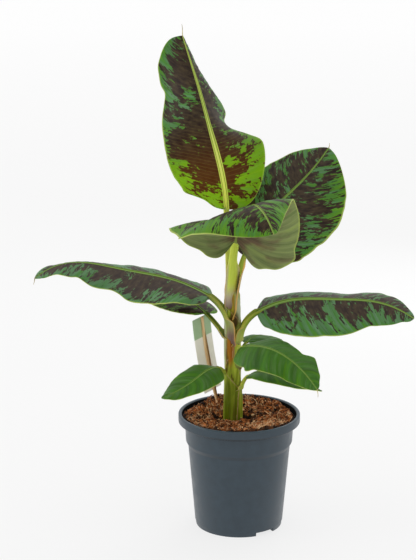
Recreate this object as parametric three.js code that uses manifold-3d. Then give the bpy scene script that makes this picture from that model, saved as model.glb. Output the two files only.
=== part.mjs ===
// A young banana plant in a nursery pot, with a plain label on a stick.
// Millimetres, +Z up. The origin is the middle of the pot's underside, and -Y is the front.
import * as THREE from 'three';
import { mergeVertices } from 'three/addons/utils/BufferGeometryUtils.js';
import Module from 'manifold-3d';

const wasm = await Module();
wasm.setup();

// Driving dimensions

const clearance = 0.3; // between any two pieces that touch

const pot = {
  rimRadius: 85, // outside the rolled lip, a 17 cm pot
  rimTop: 162.5,
  rimBottom: 150.5,
  mouthRadius: 80.3, // inside the lip, which stands out from the wall below
  lipRound: 1.6,
  collarTopRadius: 76,
  collarBottomRadius: 74.5,
  collarBottom: 123,
  ledgeBottom: 117, // the wall steps in under the collar
  ledgeRadius: 71.3,
  footTopRadius: 61.8,
  footTop: 6.5,
  footRadius: 60.4,
  wall: 1.8,
  floorTop: 6,
  undersideRise: 3.5, // the recess between the foot ring and the middle pad
  padRadius: 22,
  footRingWidth: 7,
  segments: 48,
};
const notch = { count: 2, azimuth: -53, angle: 29, height: 5 }; // cut-outs in the foot ring, degrees
const drain = { count: 6, ringRadius: 38, radius: 5 };

const soil = {
  bottom: 6.5,
  level: 149, // at the stem
  edgeRise: 8.5, // the soil dishes down from the wall to the stem
  lump: 1.2,
  heap: { x: -33, y: 60, height: 3, spread: 22 }, // pushed up where the label stands
  hollows: [
    { x: -27, y: 14, depth: 6, spread: 8 },
    { x: 11, y: 20, depth: 8, spread: 9 },
  ],
  segments: 48,
};

// The pseudostem's axis and radius, from the flat cut in the soil to the fork
const stem = {
  sections: [
    { x: -9, y: 12, z: 144, radius: 13.8 },
    { x: -8.5, y: 11.5, z: 182, radius: 13.1 },
    { x: -8.9, y: 11, z: 202, radius: 11.9 },
    { x: -9.3, y: 10, z: 230, radius: 11.6 },
    { x: -9.8, y: 8, z: 275, radius: 11.4 },
    { x: -10.2, y: 6.5, z: 320, radius: 10.9 },
    { x: -10.3, y: 6, z: 336, radius: 10.2 },
  ],
  sides: 16,
};

const petiole = { steps: 12, depthShare: 0.72, sides: 8 };
const blade = {
  axisSteps: 32,
  stations: 15, // sections along the midrib
  rows: 3, // points across each half
  thicknessShare: 0.011, // of the blade's length
  curl: -30, // how far each half arches over from rib to edge, degrees
  threadRadius: 0.9,
};

// Each leaf: where its petiole's axis starts inside the stem, then angles in degrees along it.
// Elevation is above the level, heading is counter-clockwise from +X, and a list runs from base to tip.
// Widths are those of one half blade; a fold lifts the half above the rib's own plane.
const leaves = [
  {
    name: 'top', blotched: true, foot: [-13, 12, 300],
    stalk: { length: 148, elevation: 86, heading: 101, width: 9 },
    length: 265, elevation: [85, 58, 50, 56], heading: [134, 112, 121], roll: [28, 12, 17],
    baseRound: 0.34, tipRound: 0.37, thread: { length: 17, elevation: 85 },
    left: { width: [72, 66, 58], fold: [21, -6, -20, -34, -11], sweep: [0.2, -0.2, 0.2] },
    right: { width: [72, 69, 58], fold: [41, 4, -54, -55, -71], sweep: [0, 0.1, -0.6] },
  },
  {
    name: 'front', blotched: true, foot: [-12, -2, 300],
    stalk: { length: 129, elevation: 100, heading: -73, width: 10 },
    length: 227, elevation: [46, 28, 31, -4, -42], heading: [-84, -79, -67], roll: [11, -8, -3],
    baseRound: 0.39, tipRound: 0.53,
    left: { width: [102, 65, 37], fold: [-58, -27, 0, -17, -27], sweep: [0] },
    right: { width: [82, 99, 90], fold: [-69, -10, -13, -15, -27], sweep: [0.2, 0.1, 0] },
  },
  {
    name: 'back_right', blotched: true, foot: [-6, 9, 300],
    stalk: { length: 86, elevation: 94, heading: 33, width: 6.5 },
    length: 204, elevation: [68, 33, 39], heading: [15, 36, 47], roll: [-28, -24, -15],
    baseRound: 0.47, tipRound: 0.59, thread: { length: 8, elevation: 70 },
    left: { width: [58], fold: [5], sweep: [0] },
    right: { width: [85, 80, 64], fold: [-26, -20, -11], sweep: [0, 0.2, -0.1] },
  },
  {
    name: 'left', blotched: true, foot: [-15, 4, 265],
    stalk: { length: 73, elevation: 108, heading: 162, width: 10 },
    length: 257, elevation: [27, 11, 10, -39], heading: [164, 184, 180], roll: [-2, 12, 1],
    baseRound: 0.3, tipRound: 0.6, thread: { length: 10, elevation: -75 },
    left: { width: [53, 46, 30], fold: [-14, -30, -30], sweep: [0] },
    right: { width: [46, 36, 27], fold: [-6, -20, -32], sweep: [0] },
  },
  {
    name: 'right', blotched: true, foot: [1, 3, 260],
    stalk: { length: 56, elevation: 100, heading: -9, width: 9.5 },
    length: 227, elevation: [31, 5, 0, -32], heading: [-8, -17, -14], roll: [-17, -15, -27],
    baseRound: 0.36, tipRound: 0.56,
    left: { width: [43, 39, 35], fold: [-8, -20, -4], sweep: [0] },
    right: { width: [56, 54, 39], fold: [-28, -42, -38], sweep: [0] },
  },
  {
    name: 'back_left', blotched: true, foot: [-17, 8, 264],
    stalk: { length: 53, elevation: 60, heading: 154, width: 5.5 },
    length: 125, elevation: [17, 3, -6], heading: [122, 147, 166], roll: [-1],
    baseRound: 0.36, tipRound: 0.56,
    left: { width: [33], fold: [-7, -14, -12], sweep: [0] },
    right: { width: [40], fold: [-14, -12, -7], sweep: [0] },
  },
  {
    name: 'low_front_right', foot: [-2, -1, 224],
    stalk: { length: 55, elevation: 94, heading: -101, width: 5.5 },
    length: 172, elevation: [20, 9, -21, -45], heading: [-72, -47, -40], roll: [-14],
    baseRound: 0.44, tipRound: 0.56, thread: { length: 11, elevation: -85 },
    left: { width: [30, 33, 36], fold: [0, -14, -1], sweep: [0] },
    right: { width: [40, 38, 34], fold: [-30, -21, -7], sweep: [0] },
  },
  {
    name: 'low_back_right', foot: [-1, 10, 238],
    stalk: { length: 28, elevation: 70, heading: 53, width: 4.5 },
    length: 68, elevation: [18, -11, -21], heading: [58, 37, 15], roll: [2],
    baseRound: 0.36, tipRound: 0.4,
    left: { width: [17, 20, 23], fold: [-7], sweep: [0] },
    right: { width: [23], fold: [-6], sweep: [0] },
  },
  {
    name: 'low_right', foot: [3, 4, 192],
    stalk: { length: 31, elevation: 93, heading: -11, width: 4.5 },
    length: 121, elevation: [32, -10, -21], heading: [-56, -26, 0], roll: [-6],
    baseRound: 0.36, tipRound: 0.56,
    left: { width: [8], fold: [18, 7, -3], sweep: [0] },
    right: { width: [20], fold: [-13, -7, 6], sweep: [0] },
  },
  {
    name: 'low_front_left', foot: [-16, 8, 205],
    stalk: { length: 36, elevation: 83, heading: 203, width: 5 },
    length: 123, elevation: [18, -15, -16], heading: [248, 232, 200], roll: [6],
    baseRound: 0.44, tipRound: 0.56,
    left: { width: [28], fold: [-31, -11, 1], sweep: [0] },
    right: { width: [29], fold: [-6, -5, -10], sweep: [0] },
  },
];

const label = {
  top: [-52.1, 55, 286], // middle of the card's upper edge
  width: 36,
  height: 111,
  thickness: 1.2,
  yaw: 47.5, // about Z, degrees
  lean: 8, // sideways, the top to the left, degrees
  bow: [-1.5, 10.7], // fore and aft at the upper and lower edge, degrees
  sections: 6,
};
const stick = { width: 4.4, thickness: 2.2, length: 148, point: 16, aside: 1 };

// Materials

const finishes = {
  plastic: { color: '#4a535c', roughness: 0.5 },
  coir: { color: '#5a3a22', roughness: 1 },
  sheath: { color: '#8a9142', roughness: 0.55 },
  stalk: { color: '#8fa24a', roughness: 0.5 },
  blotchedLeaf: { color: '#3d5a34', roughness: 0.45 },
  plainLeaf: { color: '#3f7a33', roughness: 0.45 },
  card: { color: '#dfe3d6', roughness: 0.7 },
  rawWood: { color: '#b98f63', roughness: 0.8 },
};

// Shape helpers

const radians = THREE.MathUtils.degToRad;

// A smooth curve through evenly spaced values, at t from 0 to 1
function along(values, t) {
  if (values.length === 1) return values[0];
  const points = values.map((value, index) => new THREE.Vector2(index, value));
  return new THREE.SplineCurve(points).getPoint(t).y;
}

function direction(elevation, heading) {
  const e = radians(elevation);
  const h = radians(heading);
  return new THREE.Vector3(Math.cos(e) * Math.cos(h), Math.cos(e) * Math.sin(h), Math.sin(e));
}

// The vector a + b * s + c * t
function combine(a, b, s, c = b, t = 0) {
  return a.clone().addScaledVector(b, s).addScaledVector(c, t);
}

function indexed(positions, triangles) {
  const geometry = new THREE.BufferGeometry();
  geometry.setAttribute('position', new THREE.Float32BufferAttribute(positions, 3));
  geometry.setIndex(triangles);
  return geometry;
}

// A closed skin over rings of equal count. Each ring is flat-sided: its second half runs back
// under its first, so that the two ends close with strips.
function loft(rings) {
  const count = rings[0].length;
  const positions = rings.flat().flatMap((point) => [point.x, point.y, point.z]);
  const triangles = [];
  for (let ring = 0; ring < rings.length - 1; ring += 1) {
    for (let side = 0; side < count; side += 1) {
      const a = ring * count + side;
      const b = ring * count + ((side + 1) % count);
      triangles.push(a, b, b + count, a, b + count, a + count);
    }
  }
  const last = (rings.length - 1) * count;
  for (let side = 0; side < count / 2 - 1; side += 1) {
    const [a, b, c, d] = [side, side + 1, count - 2 - side, count - 1 - side];
    triangles.push(a, d, c, a, c, b);
    triangles.push(last + a, last + b, last + c, last + a, last + c, last + d);
  }
  return indexed(positions, triangles);
}

// An oval ring with its corners off the two main axes
function ovalRing(centre, across, up, halfWidth, halfDepth, sides) {
  return Array.from({ length: sides }, (_, side) => {
    const angle = (Math.PI * 2 * (side + 0.5)) / sides;
    return combine(centre, across, Math.cos(angle) * halfWidth, up, Math.sin(angle) * halfDepth);
  });
}

// Solids, for joining and cutting

function toSolid(geometry) {
  const bare = geometry.clone();
  bare.deleteAttribute('normal');
  bare.deleteAttribute('uv');
  const merged = mergeVertices(bare, 1e-4);
  return new wasm.Manifold(new wasm.Mesh({
    numProp: 3,
    vertProperties: new Float32Array(merged.attributes.position.array),
    triVerts: new Uint32Array(merged.index.array),
  }));
}

// The biggest of a solid's separate bodies
function largest(solid) {
  return solid.decompose().sort((a, b) => b.volume() - a.volume())[0];
}

function toGeometry(solid) {
  const mesh = solid.getMesh();
  const geometry = indexed(Array.from(mesh.vertProperties), Array.from(mesh.triVerts));
  geometry.computeVertexNormals();
  return geometry;
}

// A group placed at a point, holding pieces whose solids are moved into its own frame
function groupAt(origin, pieces) {
  const holder = new THREE.Group();
  holder.position.copy(origin);
  pieces.forEach(({ name, solid, finish }) => {
    const geometry = toGeometry(solid).translate(...origin.clone().negate().toArray());
    const mesh = new THREE.Mesh(geometry, new THREE.MeshStandardMaterial({ ...finish, metalness: 0 }));
    mesh.name = name;
    holder.add(mesh);
  });
  return holder;
}

// A lathe about +Z; the profile is a list of [radius, z]
function turned(profile, segments) {
  const points = profile.map(([radius, z]) => new THREE.Vector2(radius, z));
  return new THREE.LatheGeometry(points, segments).rotateX(Math.PI / 2);
}

// Pot

function innerRadius(z) {
  const share = (z - pot.footTop) / (pot.ledgeBottom - pot.footTop);
  return THREE.MathUtils.lerp(pot.footTopRadius, pot.ledgeRadius, share) - pot.wall;
}

function makePot() {
  const body = toSolid(turned([
    [0, 0],
    [pot.padRadius, 0],
    [pot.padRadius + 2, pot.undersideRise],
    [pot.footRadius - pot.footRingWidth, pot.undersideRise],
    [pot.footRadius - pot.footRingWidth + 2, 0],
    [pot.footRadius, 0],
    [pot.footTopRadius - 0.5, pot.footTop],
    [pot.footTopRadius, pot.footTop],
    [pot.ledgeRadius, pot.ledgeBottom],
    [pot.collarBottomRadius, pot.collarBottom],
    [pot.collarTopRadius, pot.rimBottom],
    [pot.rimRadius - pot.lipRound, pot.rimBottom],
    [pot.rimRadius, pot.rimBottom + pot.lipRound],
    [pot.rimRadius, pot.rimTop - pot.lipRound * 1.5],
    [pot.rimRadius - pot.lipRound, pot.rimTop],
    [pot.mouthRadius + 1, pot.rimTop],
    [pot.mouthRadius, pot.rimTop - 1],
    [pot.mouthRadius - 1.5, pot.rimBottom + 3],
    [pot.collarTopRadius - pot.wall, pot.rimBottom - 1],
    [pot.collarBottomRadius - pot.wall, pot.collarBottom],
    [innerRadius(pot.ledgeBottom), pot.ledgeBottom],
    [innerRadius(pot.floorTop), pot.floorTop],
    [0, pot.floorTop],
  ], pot.segments));
  const cutters = [];
  for (let index = 0; index < drain.count; index += 1) {
    const hole = new THREE.CylinderGeometry(drain.radius, drain.radius, pot.floorTop * 3, 12);
    const angle = (Math.PI * 2 * index) / drain.count;
    const [x, y] = [drain.ringRadius * Math.cos(angle), drain.ringRadius * Math.sin(angle)];
    cutters.push(hole.rotateX(Math.PI / 2).translate(x, y, 0));
  }
  for (let index = 0; index < notch.count; index += 1) {
    const middle = pot.footRadius - pot.footRingWidth / 2;
    const width = 2 * pot.footRadius * Math.sin(radians(notch.angle / 2));
    const block = new THREE.BoxGeometry(3 * pot.footRingWidth, width, notch.height * 2);
    cutters.push(block.translate(middle, 0, 0).rotateZ(radians(notch.azimuth + (360 * index) / notch.count)));
  }
  return cutters.reduce((solid, cutter) => solid.subtract(toSolid(cutter)), body);
}

// Stem

// The stem's solid, grown all round by an extra
function stemSolid(extra) {
  const [across, up] = [new THREE.Vector3(1, 0, 0), new THREE.Vector3(0, 1, 0)];
  const top = stem.sections.length - 1;
  return toSolid(loft(stem.sections.map(({ x, y, z, radius }, index) => {
    const end = (index === top) - (index === 0);
    const centre = new THREE.Vector3(x, y, z + end * extra);
    return ovalRing(centre, across, up, radius + extra, radius + extra, stem.sides);
  })));
}

// Label

// The label's middle and its directions at a distance down from its upper edge
function labelAt(reach) {
  const [turn, lean] = [radians(label.yaw), radians(label.lean)];
  const origin = new THREE.Vector3();
  const across = new THREE.Vector3(Math.cos(turn), Math.sin(turn), 0);
  const ahead = new THREE.Vector3(Math.sin(turn), -Math.cos(turn), 0);
  const directions = (distance) => {
    const bow = radians(THREE.MathUtils.lerp(...label.bow, distance / label.height));
    const rising = combine(origin, new THREE.Vector3(0, 0, 1), Math.cos(bow), ahead, -Math.sin(bow));
    const up = combine(origin, rising, Math.cos(lean), across, -Math.sin(lean));
    const side = combine(origin, across, Math.cos(lean), rising, Math.sin(lean));
    return { up, side, face: new THREE.Vector3().crossVectors(side, up) };
  };
  const centre = new THREE.Vector3(...label.top);
  const steps = 12;
  for (let step = 0; step < steps; step += 1) {
    centre.addScaledVector(directions(((step + 0.5) * reach) / steps).up, -reach / steps);
  }
  return { centre, ...directions(reach) };
}

// A four-cornered ring across the label's length
function labelRing(reach, aside, ahead, halfWidth, halfDepth) {
  const { centre, side, face } = labelAt(reach);
  return [[1, 1], [-1, 1], [-1, -1], [1, -1]].map(([edge, front]) => (
    combine(centre, side, aside + edge * halfWidth, face, ahead + front * halfDepth)
  ));
}

function cardSolid() {
  return toSolid(loft(Array.from({ length: label.sections + 1 }, (_, index) => (
    labelRing((index / label.sections) * label.height, 0, 0, label.width / 2, label.thickness / 2)
  ))));
}

// The stick runs up the card's front and has a pointed foot. An extra grows it all round.
function stickSolid(extra) {
  const ahead = (label.thickness + stick.thickness) / 2 + clearance;
  const pitch = label.height / label.sections;
  const straight = Math.floor((stick.length - stick.point) / pitch);
  const reaches = Array.from({ length: straight + 1 }, (_, index) => index * pitch);
  const rings = [...reaches, stick.length].map((reach, index) => {
    const narrow = index > straight ? 0.3 : 1;
    const end = (index > straight) - (index === 0);
    const halfWidth = (stick.width / 2) * narrow + extra;
    return labelRing(reach + end * extra, stick.aside, ahead, halfWidth, stick.thickness / 2 + extra);
  });
  return toSolid(loft(rings));
}

// Soil

const bump = (x, y, { x: cx, y: cy, spread }) => Math.exp(-((x - cx) ** 2 + (y - cy) ** 2) / spread ** 2);

function soilTop(x, y) {
  const share = Math.hypot(x, y) / pot.mouthRadius;
  const lumps = Math.sin(x / 5.1 + y / 9.7) * Math.cos(y / 6.3 - x / 11.9) + Math.sin(y / 14.2 + 1);
  const hollows = soil.hollows.reduce((sum, hollow) => sum + hollow.depth * bump(x, y, hollow), 0);
  const dish = soil.level + soil.edgeRise * share ** 2;
  return dish + soil.lump * lumps + soil.heap.height * bump(x, y, soil.heap) - hollows;
}

function makeSoil() {
  const gap = clearance + 0.05;
  const edge = pot.mouthRadius - 1.7 - gap;
  const topRings = 8;
  const level = soil.level + 20;
  const top = Array.from({ length: topRings + 1 }, (_, ring) => [edge * (1 - ring / topRings), level]);
  const geometry = turned([
    [0, soil.bottom],
    [innerRadius(soil.bottom) - gap, soil.bottom],
    [innerRadius(pot.ledgeBottom) - gap, pot.ledgeBottom],
    [pot.collarBottomRadius - pot.wall - gap, pot.collarBottom],
    [pot.collarTopRadius - pot.wall - gap, pot.rimBottom - 1 + gap],
    [edge, pot.rimBottom + 3 + gap],
    ...top,
  ], soil.segments);
  const { position } = geometry.attributes;
  for (let index = 0; index < position.count; index += 1) {
    const [x, y, z] = [position.getX(index), position.getY(index), position.getZ(index)];
    if (z > level - 1) position.setZ(index, soilTop(x, y));
  }
  return toSolid(geometry).subtract(stemSolid(clearance)).subtract(stickSolid(clearance));
}

// Leaves

// The petiole's axis: it starts at its own angles and turns into the blade's
function petioleAxis({ foot, stalk, elevation, heading }) {
  const points = [new THREE.Vector3(...foot)];
  for (let step = 0; step < petiole.steps; step += 1) {
    const t = (step + 0.5) / petiole.steps;
    const aim = direction(
      THREE.MathUtils.lerp(stalk.elevation, elevation[0], t),
      THREE.MathUtils.lerp(stalk.heading, heading[0], t),
    );
    points.push(combine(points[step], aim, stalk.length / petiole.steps));
  }
  return points;
}

function bladeAxis(leaf, start) {
  const points = [start];
  for (let step = 0; step < blade.axisSteps; step += 1) {
    const t = (step + 0.5) / blade.axisSteps;
    const aim = direction(along(leaf.elevation, t), along(leaf.heading, t));
    points.push(combine(points[step], aim, leaf.length / blade.axisSteps));
  }
  return points;
}

// Forward, left and upper-side directions at an angle pair. A roll lifts the right side.
function frameAt(elevation, heading, roll) {
  const forward = direction(elevation, heading);
  const left = direction(0, heading + 90).applyAxisAngle(forward, -radians(roll));
  return { forward, left, up: new THREE.Vector3().crossVectors(forward, left) };
}

function makePetiole(leaf) {
  const points = petioleAxis(leaf);
  const rings = points.map((point, index) => {
    const t = index / petiole.steps;
    const frame = frameAt(
      THREE.MathUtils.lerp(leaf.stalk.elevation, leaf.elevation[0], t),
      THREE.MathUtils.lerp(leaf.stalk.heading, leaf.heading[0], t),
      leaf.roll[0] * t,
    );
    const half = (leaf.stalk.width / 2) * THREE.MathUtils.lerp(1.2, 0.92, t);
    return ovalRing(point, frame.left, frame.up, half, half * petiole.depthShare, petiole.sides);
  });
  return largest(toSolid(loft(rings)).subtract(stemSolid(clearance)));
}

// The rounded outline of a half blade, 1 at its widest
function outline(t, { baseRound, tipRound }) {
  const widest = baseRound / (baseRound + tipRound);
  return (t / widest) ** baseRound * ((1 - t) / (1 - widest)) ** tipRound;
}

// One half's points across a section, from rib to edge, each with its upper-side normal
function acrossHalf(leaf, half, side, t, centre, frame, rib) {
  const width = Math.max(along(half.width, t) * outline(t, leaf), rib);
  const fold = along(half.fold, t);
  const sweep = along(half.sweep, t);
  return Array.from({ length: blade.rows }, (_, row) => {
    const share = (row + 1) / blade.rows;
    const rise = radians(fold + blade.curl * (share / 2 - 0.5));
    const slope = radians(fold + blade.curl * (share - 0.5));
    const outward = combine(new THREE.Vector3(), frame.left, side * Math.cos(rise), frame.up, Math.sin(rise));
    return {
      point: combine(centre, outward, width * share, frame.forward, width * sweep * share * share),
      normal: combine(new THREE.Vector3(), frame.left, -side * Math.sin(slope), frame.up, Math.cos(slope)),
    };
  });
}

// The dry thread that a blade's tip runs out into, as two more sections
function threadRings({ thread, heading }, tip) {
  if (!thread) return [];
  const { forward, left, up } = frameAt(thread.elevation, heading.at(-1), 0);
  const places = Array.from({ length: 2 * blade.rows + 1 }, (_, index) => 1 - index / blade.rows);
  return [0.2, 1].map((share) => {
    const radius = blade.threadRadius * (1 - share / 3);
    const centre = combine(tip, forward, thread.length * share);
    const row = (side) => places.map((place) => combine(centre, left, place * radius, up, side * radius));
    return [...row(0), ...row(-2).reverse()];
  });
}

function makeBlade(leaf) {
  const seat = petioleAxis(leaf).at(-1);
  const start = combine(seat, direction(leaf.elevation[0], leaf.heading[0]), clearance);
  const axis = bladeAxis(leaf, start);
  const thickness = blade.thicknessShare * leaf.length;
  const ribBase = leaf.stalk.width * 0.45;
  const rings = Array.from({ length: blade.stations + 1 }, (_, station) => {
    const t = (1 - Math.cos((Math.PI * station) / blade.stations)) / 2;
    const place = t * blade.axisSteps;
    const step = Math.min(Math.floor(place), blade.axisSteps - 1);
    const centre = axis[step].clone().lerp(axis[step + 1], place - step);
    const frame = frameAt(along(leaf.elevation, t), along(leaf.heading, t), along(leaf.roll, t));
    const rib = THREE.MathUtils.lerp(ribBase, blade.threadRadius, t);
    const left = acrossHalf(leaf, leaf.left, 1, t, centre, frame, rib);
    const right = acrossHalf(leaf, leaf.right, -1, t, centre, frame, rib);
    const upper = [...left.reverse(), { point: centre, normal: frame.up }, ...right];
    const ribDepth = Math.max(thickness, rib * 1.1);
    const depths = upper.map((_, index) => (index === blade.rows ? ribDepth : thickness));
    const lower = upper.map(({ point, normal }, index) => combine(point, normal, -depths[index]));
    return [...upper.map(({ point }) => point), ...lower.reverse()];
  });
  return toSolid(loft([...rings, ...threadRings(leaf, axis.at(-1))]));
}

// Assembly

const potGroup = groupAt(new THREE.Vector3(), [
  { name: 'pot', solid: makePot(), finish: finishes.plastic },
  { name: 'soil', solid: makeSoil(), finish: finishes.coir },
]);

const labelGroup = groupAt(new THREE.Vector3(...label.top), [
  { name: 'label_card', solid: cardSolid(), finish: finishes.card },
  { name: 'label_stick', solid: stickSolid(0), finish: finishes.rawWood },
]);

const stemFoot = stem.sections[0];
const stemGroup = groupAt(new THREE.Vector3(stemFoot.x, stemFoot.y, stemFoot.z), [
  { name: 'pseudostem', solid: stemSolid(0), finish: finishes.sheath },
]);

const leafGroups = leaves.map((leaf) => groupAt(new THREE.Vector3(...leaf.foot), [
  { name: `petiole_${leaf.name}`, solid: makePetiole(leaf), finish: finishes.stalk },
  {
    name: `blade_${leaf.name}`,
    solid: makeBlade(leaf),
    finish: leaf.blotched ? finishes.blotchedLeaf : finishes.plainLeaf,
  },
]));

const group = new THREE.Group();
group.add(potGroup, labelGroup, stemGroup, ...leafGroups);

export default group;
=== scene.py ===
"""A young banana plant in a nursery pot, modelled over its CAD frame, in metres with +Z up.

Sizes that a grower would name are kept in millimetres, and MM turns them to metres. The front is -Y.
"""

import math
import random

import bmesh
import bpy
from bpy.props import FloatProperty, FloatVectorProperty, IntProperty, PointerProperty
from mathutils import Matrix, Quaternion, Vector, noise


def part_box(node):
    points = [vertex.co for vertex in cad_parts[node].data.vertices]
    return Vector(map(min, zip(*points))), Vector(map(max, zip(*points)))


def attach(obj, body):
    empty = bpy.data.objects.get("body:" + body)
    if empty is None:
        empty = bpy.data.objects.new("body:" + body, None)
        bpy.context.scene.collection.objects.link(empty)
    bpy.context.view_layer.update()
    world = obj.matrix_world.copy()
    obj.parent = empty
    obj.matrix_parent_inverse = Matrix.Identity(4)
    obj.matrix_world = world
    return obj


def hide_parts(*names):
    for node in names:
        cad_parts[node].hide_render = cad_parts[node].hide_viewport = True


bl_info = {
    "name": "Potted banana plant",
    "version": (1, 0, 0),
    "blender": (4, 5, 0),
    "location": "3D View > Sidebar > Plant",
    "description": "Builds a young banana plant in a nursery pot over its frame",
    "category": "Add Mesh",
}

# Frame

MM = 0.001
BODY = "root"

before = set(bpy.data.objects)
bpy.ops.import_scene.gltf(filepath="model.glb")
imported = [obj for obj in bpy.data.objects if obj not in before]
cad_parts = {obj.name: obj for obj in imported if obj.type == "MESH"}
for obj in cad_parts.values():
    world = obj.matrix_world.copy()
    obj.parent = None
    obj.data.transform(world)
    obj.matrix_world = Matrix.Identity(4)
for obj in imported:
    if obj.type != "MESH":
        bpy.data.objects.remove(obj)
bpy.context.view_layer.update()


def linear(code):
    """The linear colour of an sRGB hex code."""
    shares = [int(code[place : place + 2], 16) / 255 for place in (1, 3, 5)]
    return tuple(s / 12.92 if s <= 0.04045 else ((s + 0.055) / 1.055) ** 2.4 for s in shares)


def node_size(node):
    """(lowest corner, highest corner) of a CAD node, in millimetres."""
    return [Vector(corner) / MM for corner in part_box(node)]


POT_LOW, POT_HIGH = node_size("pot")
STEM_LOW, STEM_HIGH = node_size("pseudostem")

# Camera, as the picture was taken

CAMERA_PLACE = (-0.0436, -2.387, 0.9805)
CAMERA_DROP = 14.71  # degrees below the level
CAMERA_LENS = 115.714

# Pot, from its rim radius and height

RIM = POT_HIGH.x
HEIGHT = POT_HIGH.z
WALL = 1.8
MOUTH = RIM - 4.7
LIP_LOW = HEIGHT - 12
COLLAR_TOP = RIM - 9
COLLAR_FOOT = RIM - 10.5
COLLAR_LOW = 123
LEDGE = RIM - 13.7
LEDGE_LOW = 117
FOOT_TOP = 61.8
FOOT = 60.4
FOOT_HIGH = 6.5
FLOOR = 6
RECESS = 3.5
RING = 7
PAD = 22
POT_SEGMENTS = 144
NOTCHES = {"count": 2, "azimuth": -53, "angle": 29, "height": 5}
DRAINS = {"count": 6, "ring": 38, "radius": 5}

# Soil

SOIL_LEVEL = 149
SOIL_RISE = 8.5
SOIL_LUMP = 1.2
HEAP = {"x": -33, "y": 60, "height": 3, "spread": 22}
HOLLOWS = (
    {"x": -27, "y": 14, "height": -6, "spread": 8},
    {"x": 11, "y": 20, "height": -8, "spread": 9},
)

# What only the dressed bed has: hollows and a heap in the loose coir, and gaps along the wall given
# as the azimuth of each gap's middle and half its width, in degrees

LOOSE = (
    {"x": -27, "y": 12, "height": -9, "spread": 9}, {"x": 13, "y": 16, "height": -10, "spread": 11},
    {"x": -16, "y": -38, "height": -9, "spread": 9}, {"x": 34, "y": -46, "height": 5, "spread": 26},
)
GAPS = ((152, 22), (13, 20))

# Stem: its axis and radius, from the cut in the soil to the fork

STEM = (
    (-9, 12, 144, 13.8),
    (-8.5, 11.5, 182, 13.1),
    (-8.9, 11, 202, 11.9),
    (-9.3, 10, 230, 11.6),
    (-9.8, 8, 275, 11.4),
    (-10.2, 6.5, 320, 10.9),
    (-10.3, 6, 336, 10.2),
)

# Leaves: where each petiole's axis starts inside the stem, then angles in degrees along it. Elevation
# is above the level, heading is counter-clockwise from +X, and a list runs from base to tip. A patch of
# the dark blotching is (place along, place across from -1 right to 1 left, reach along, reach across,
# strength), and a dent narrows an edge the same way.

PETIOLE_DEPTH = 0.72
CURL = -30
RUN_OUT = 12  # how far the stalk reaches on under the blade, in millimetres
AXIS_STEPS = 96
THREAD_RADIUS = 0.45

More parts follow.
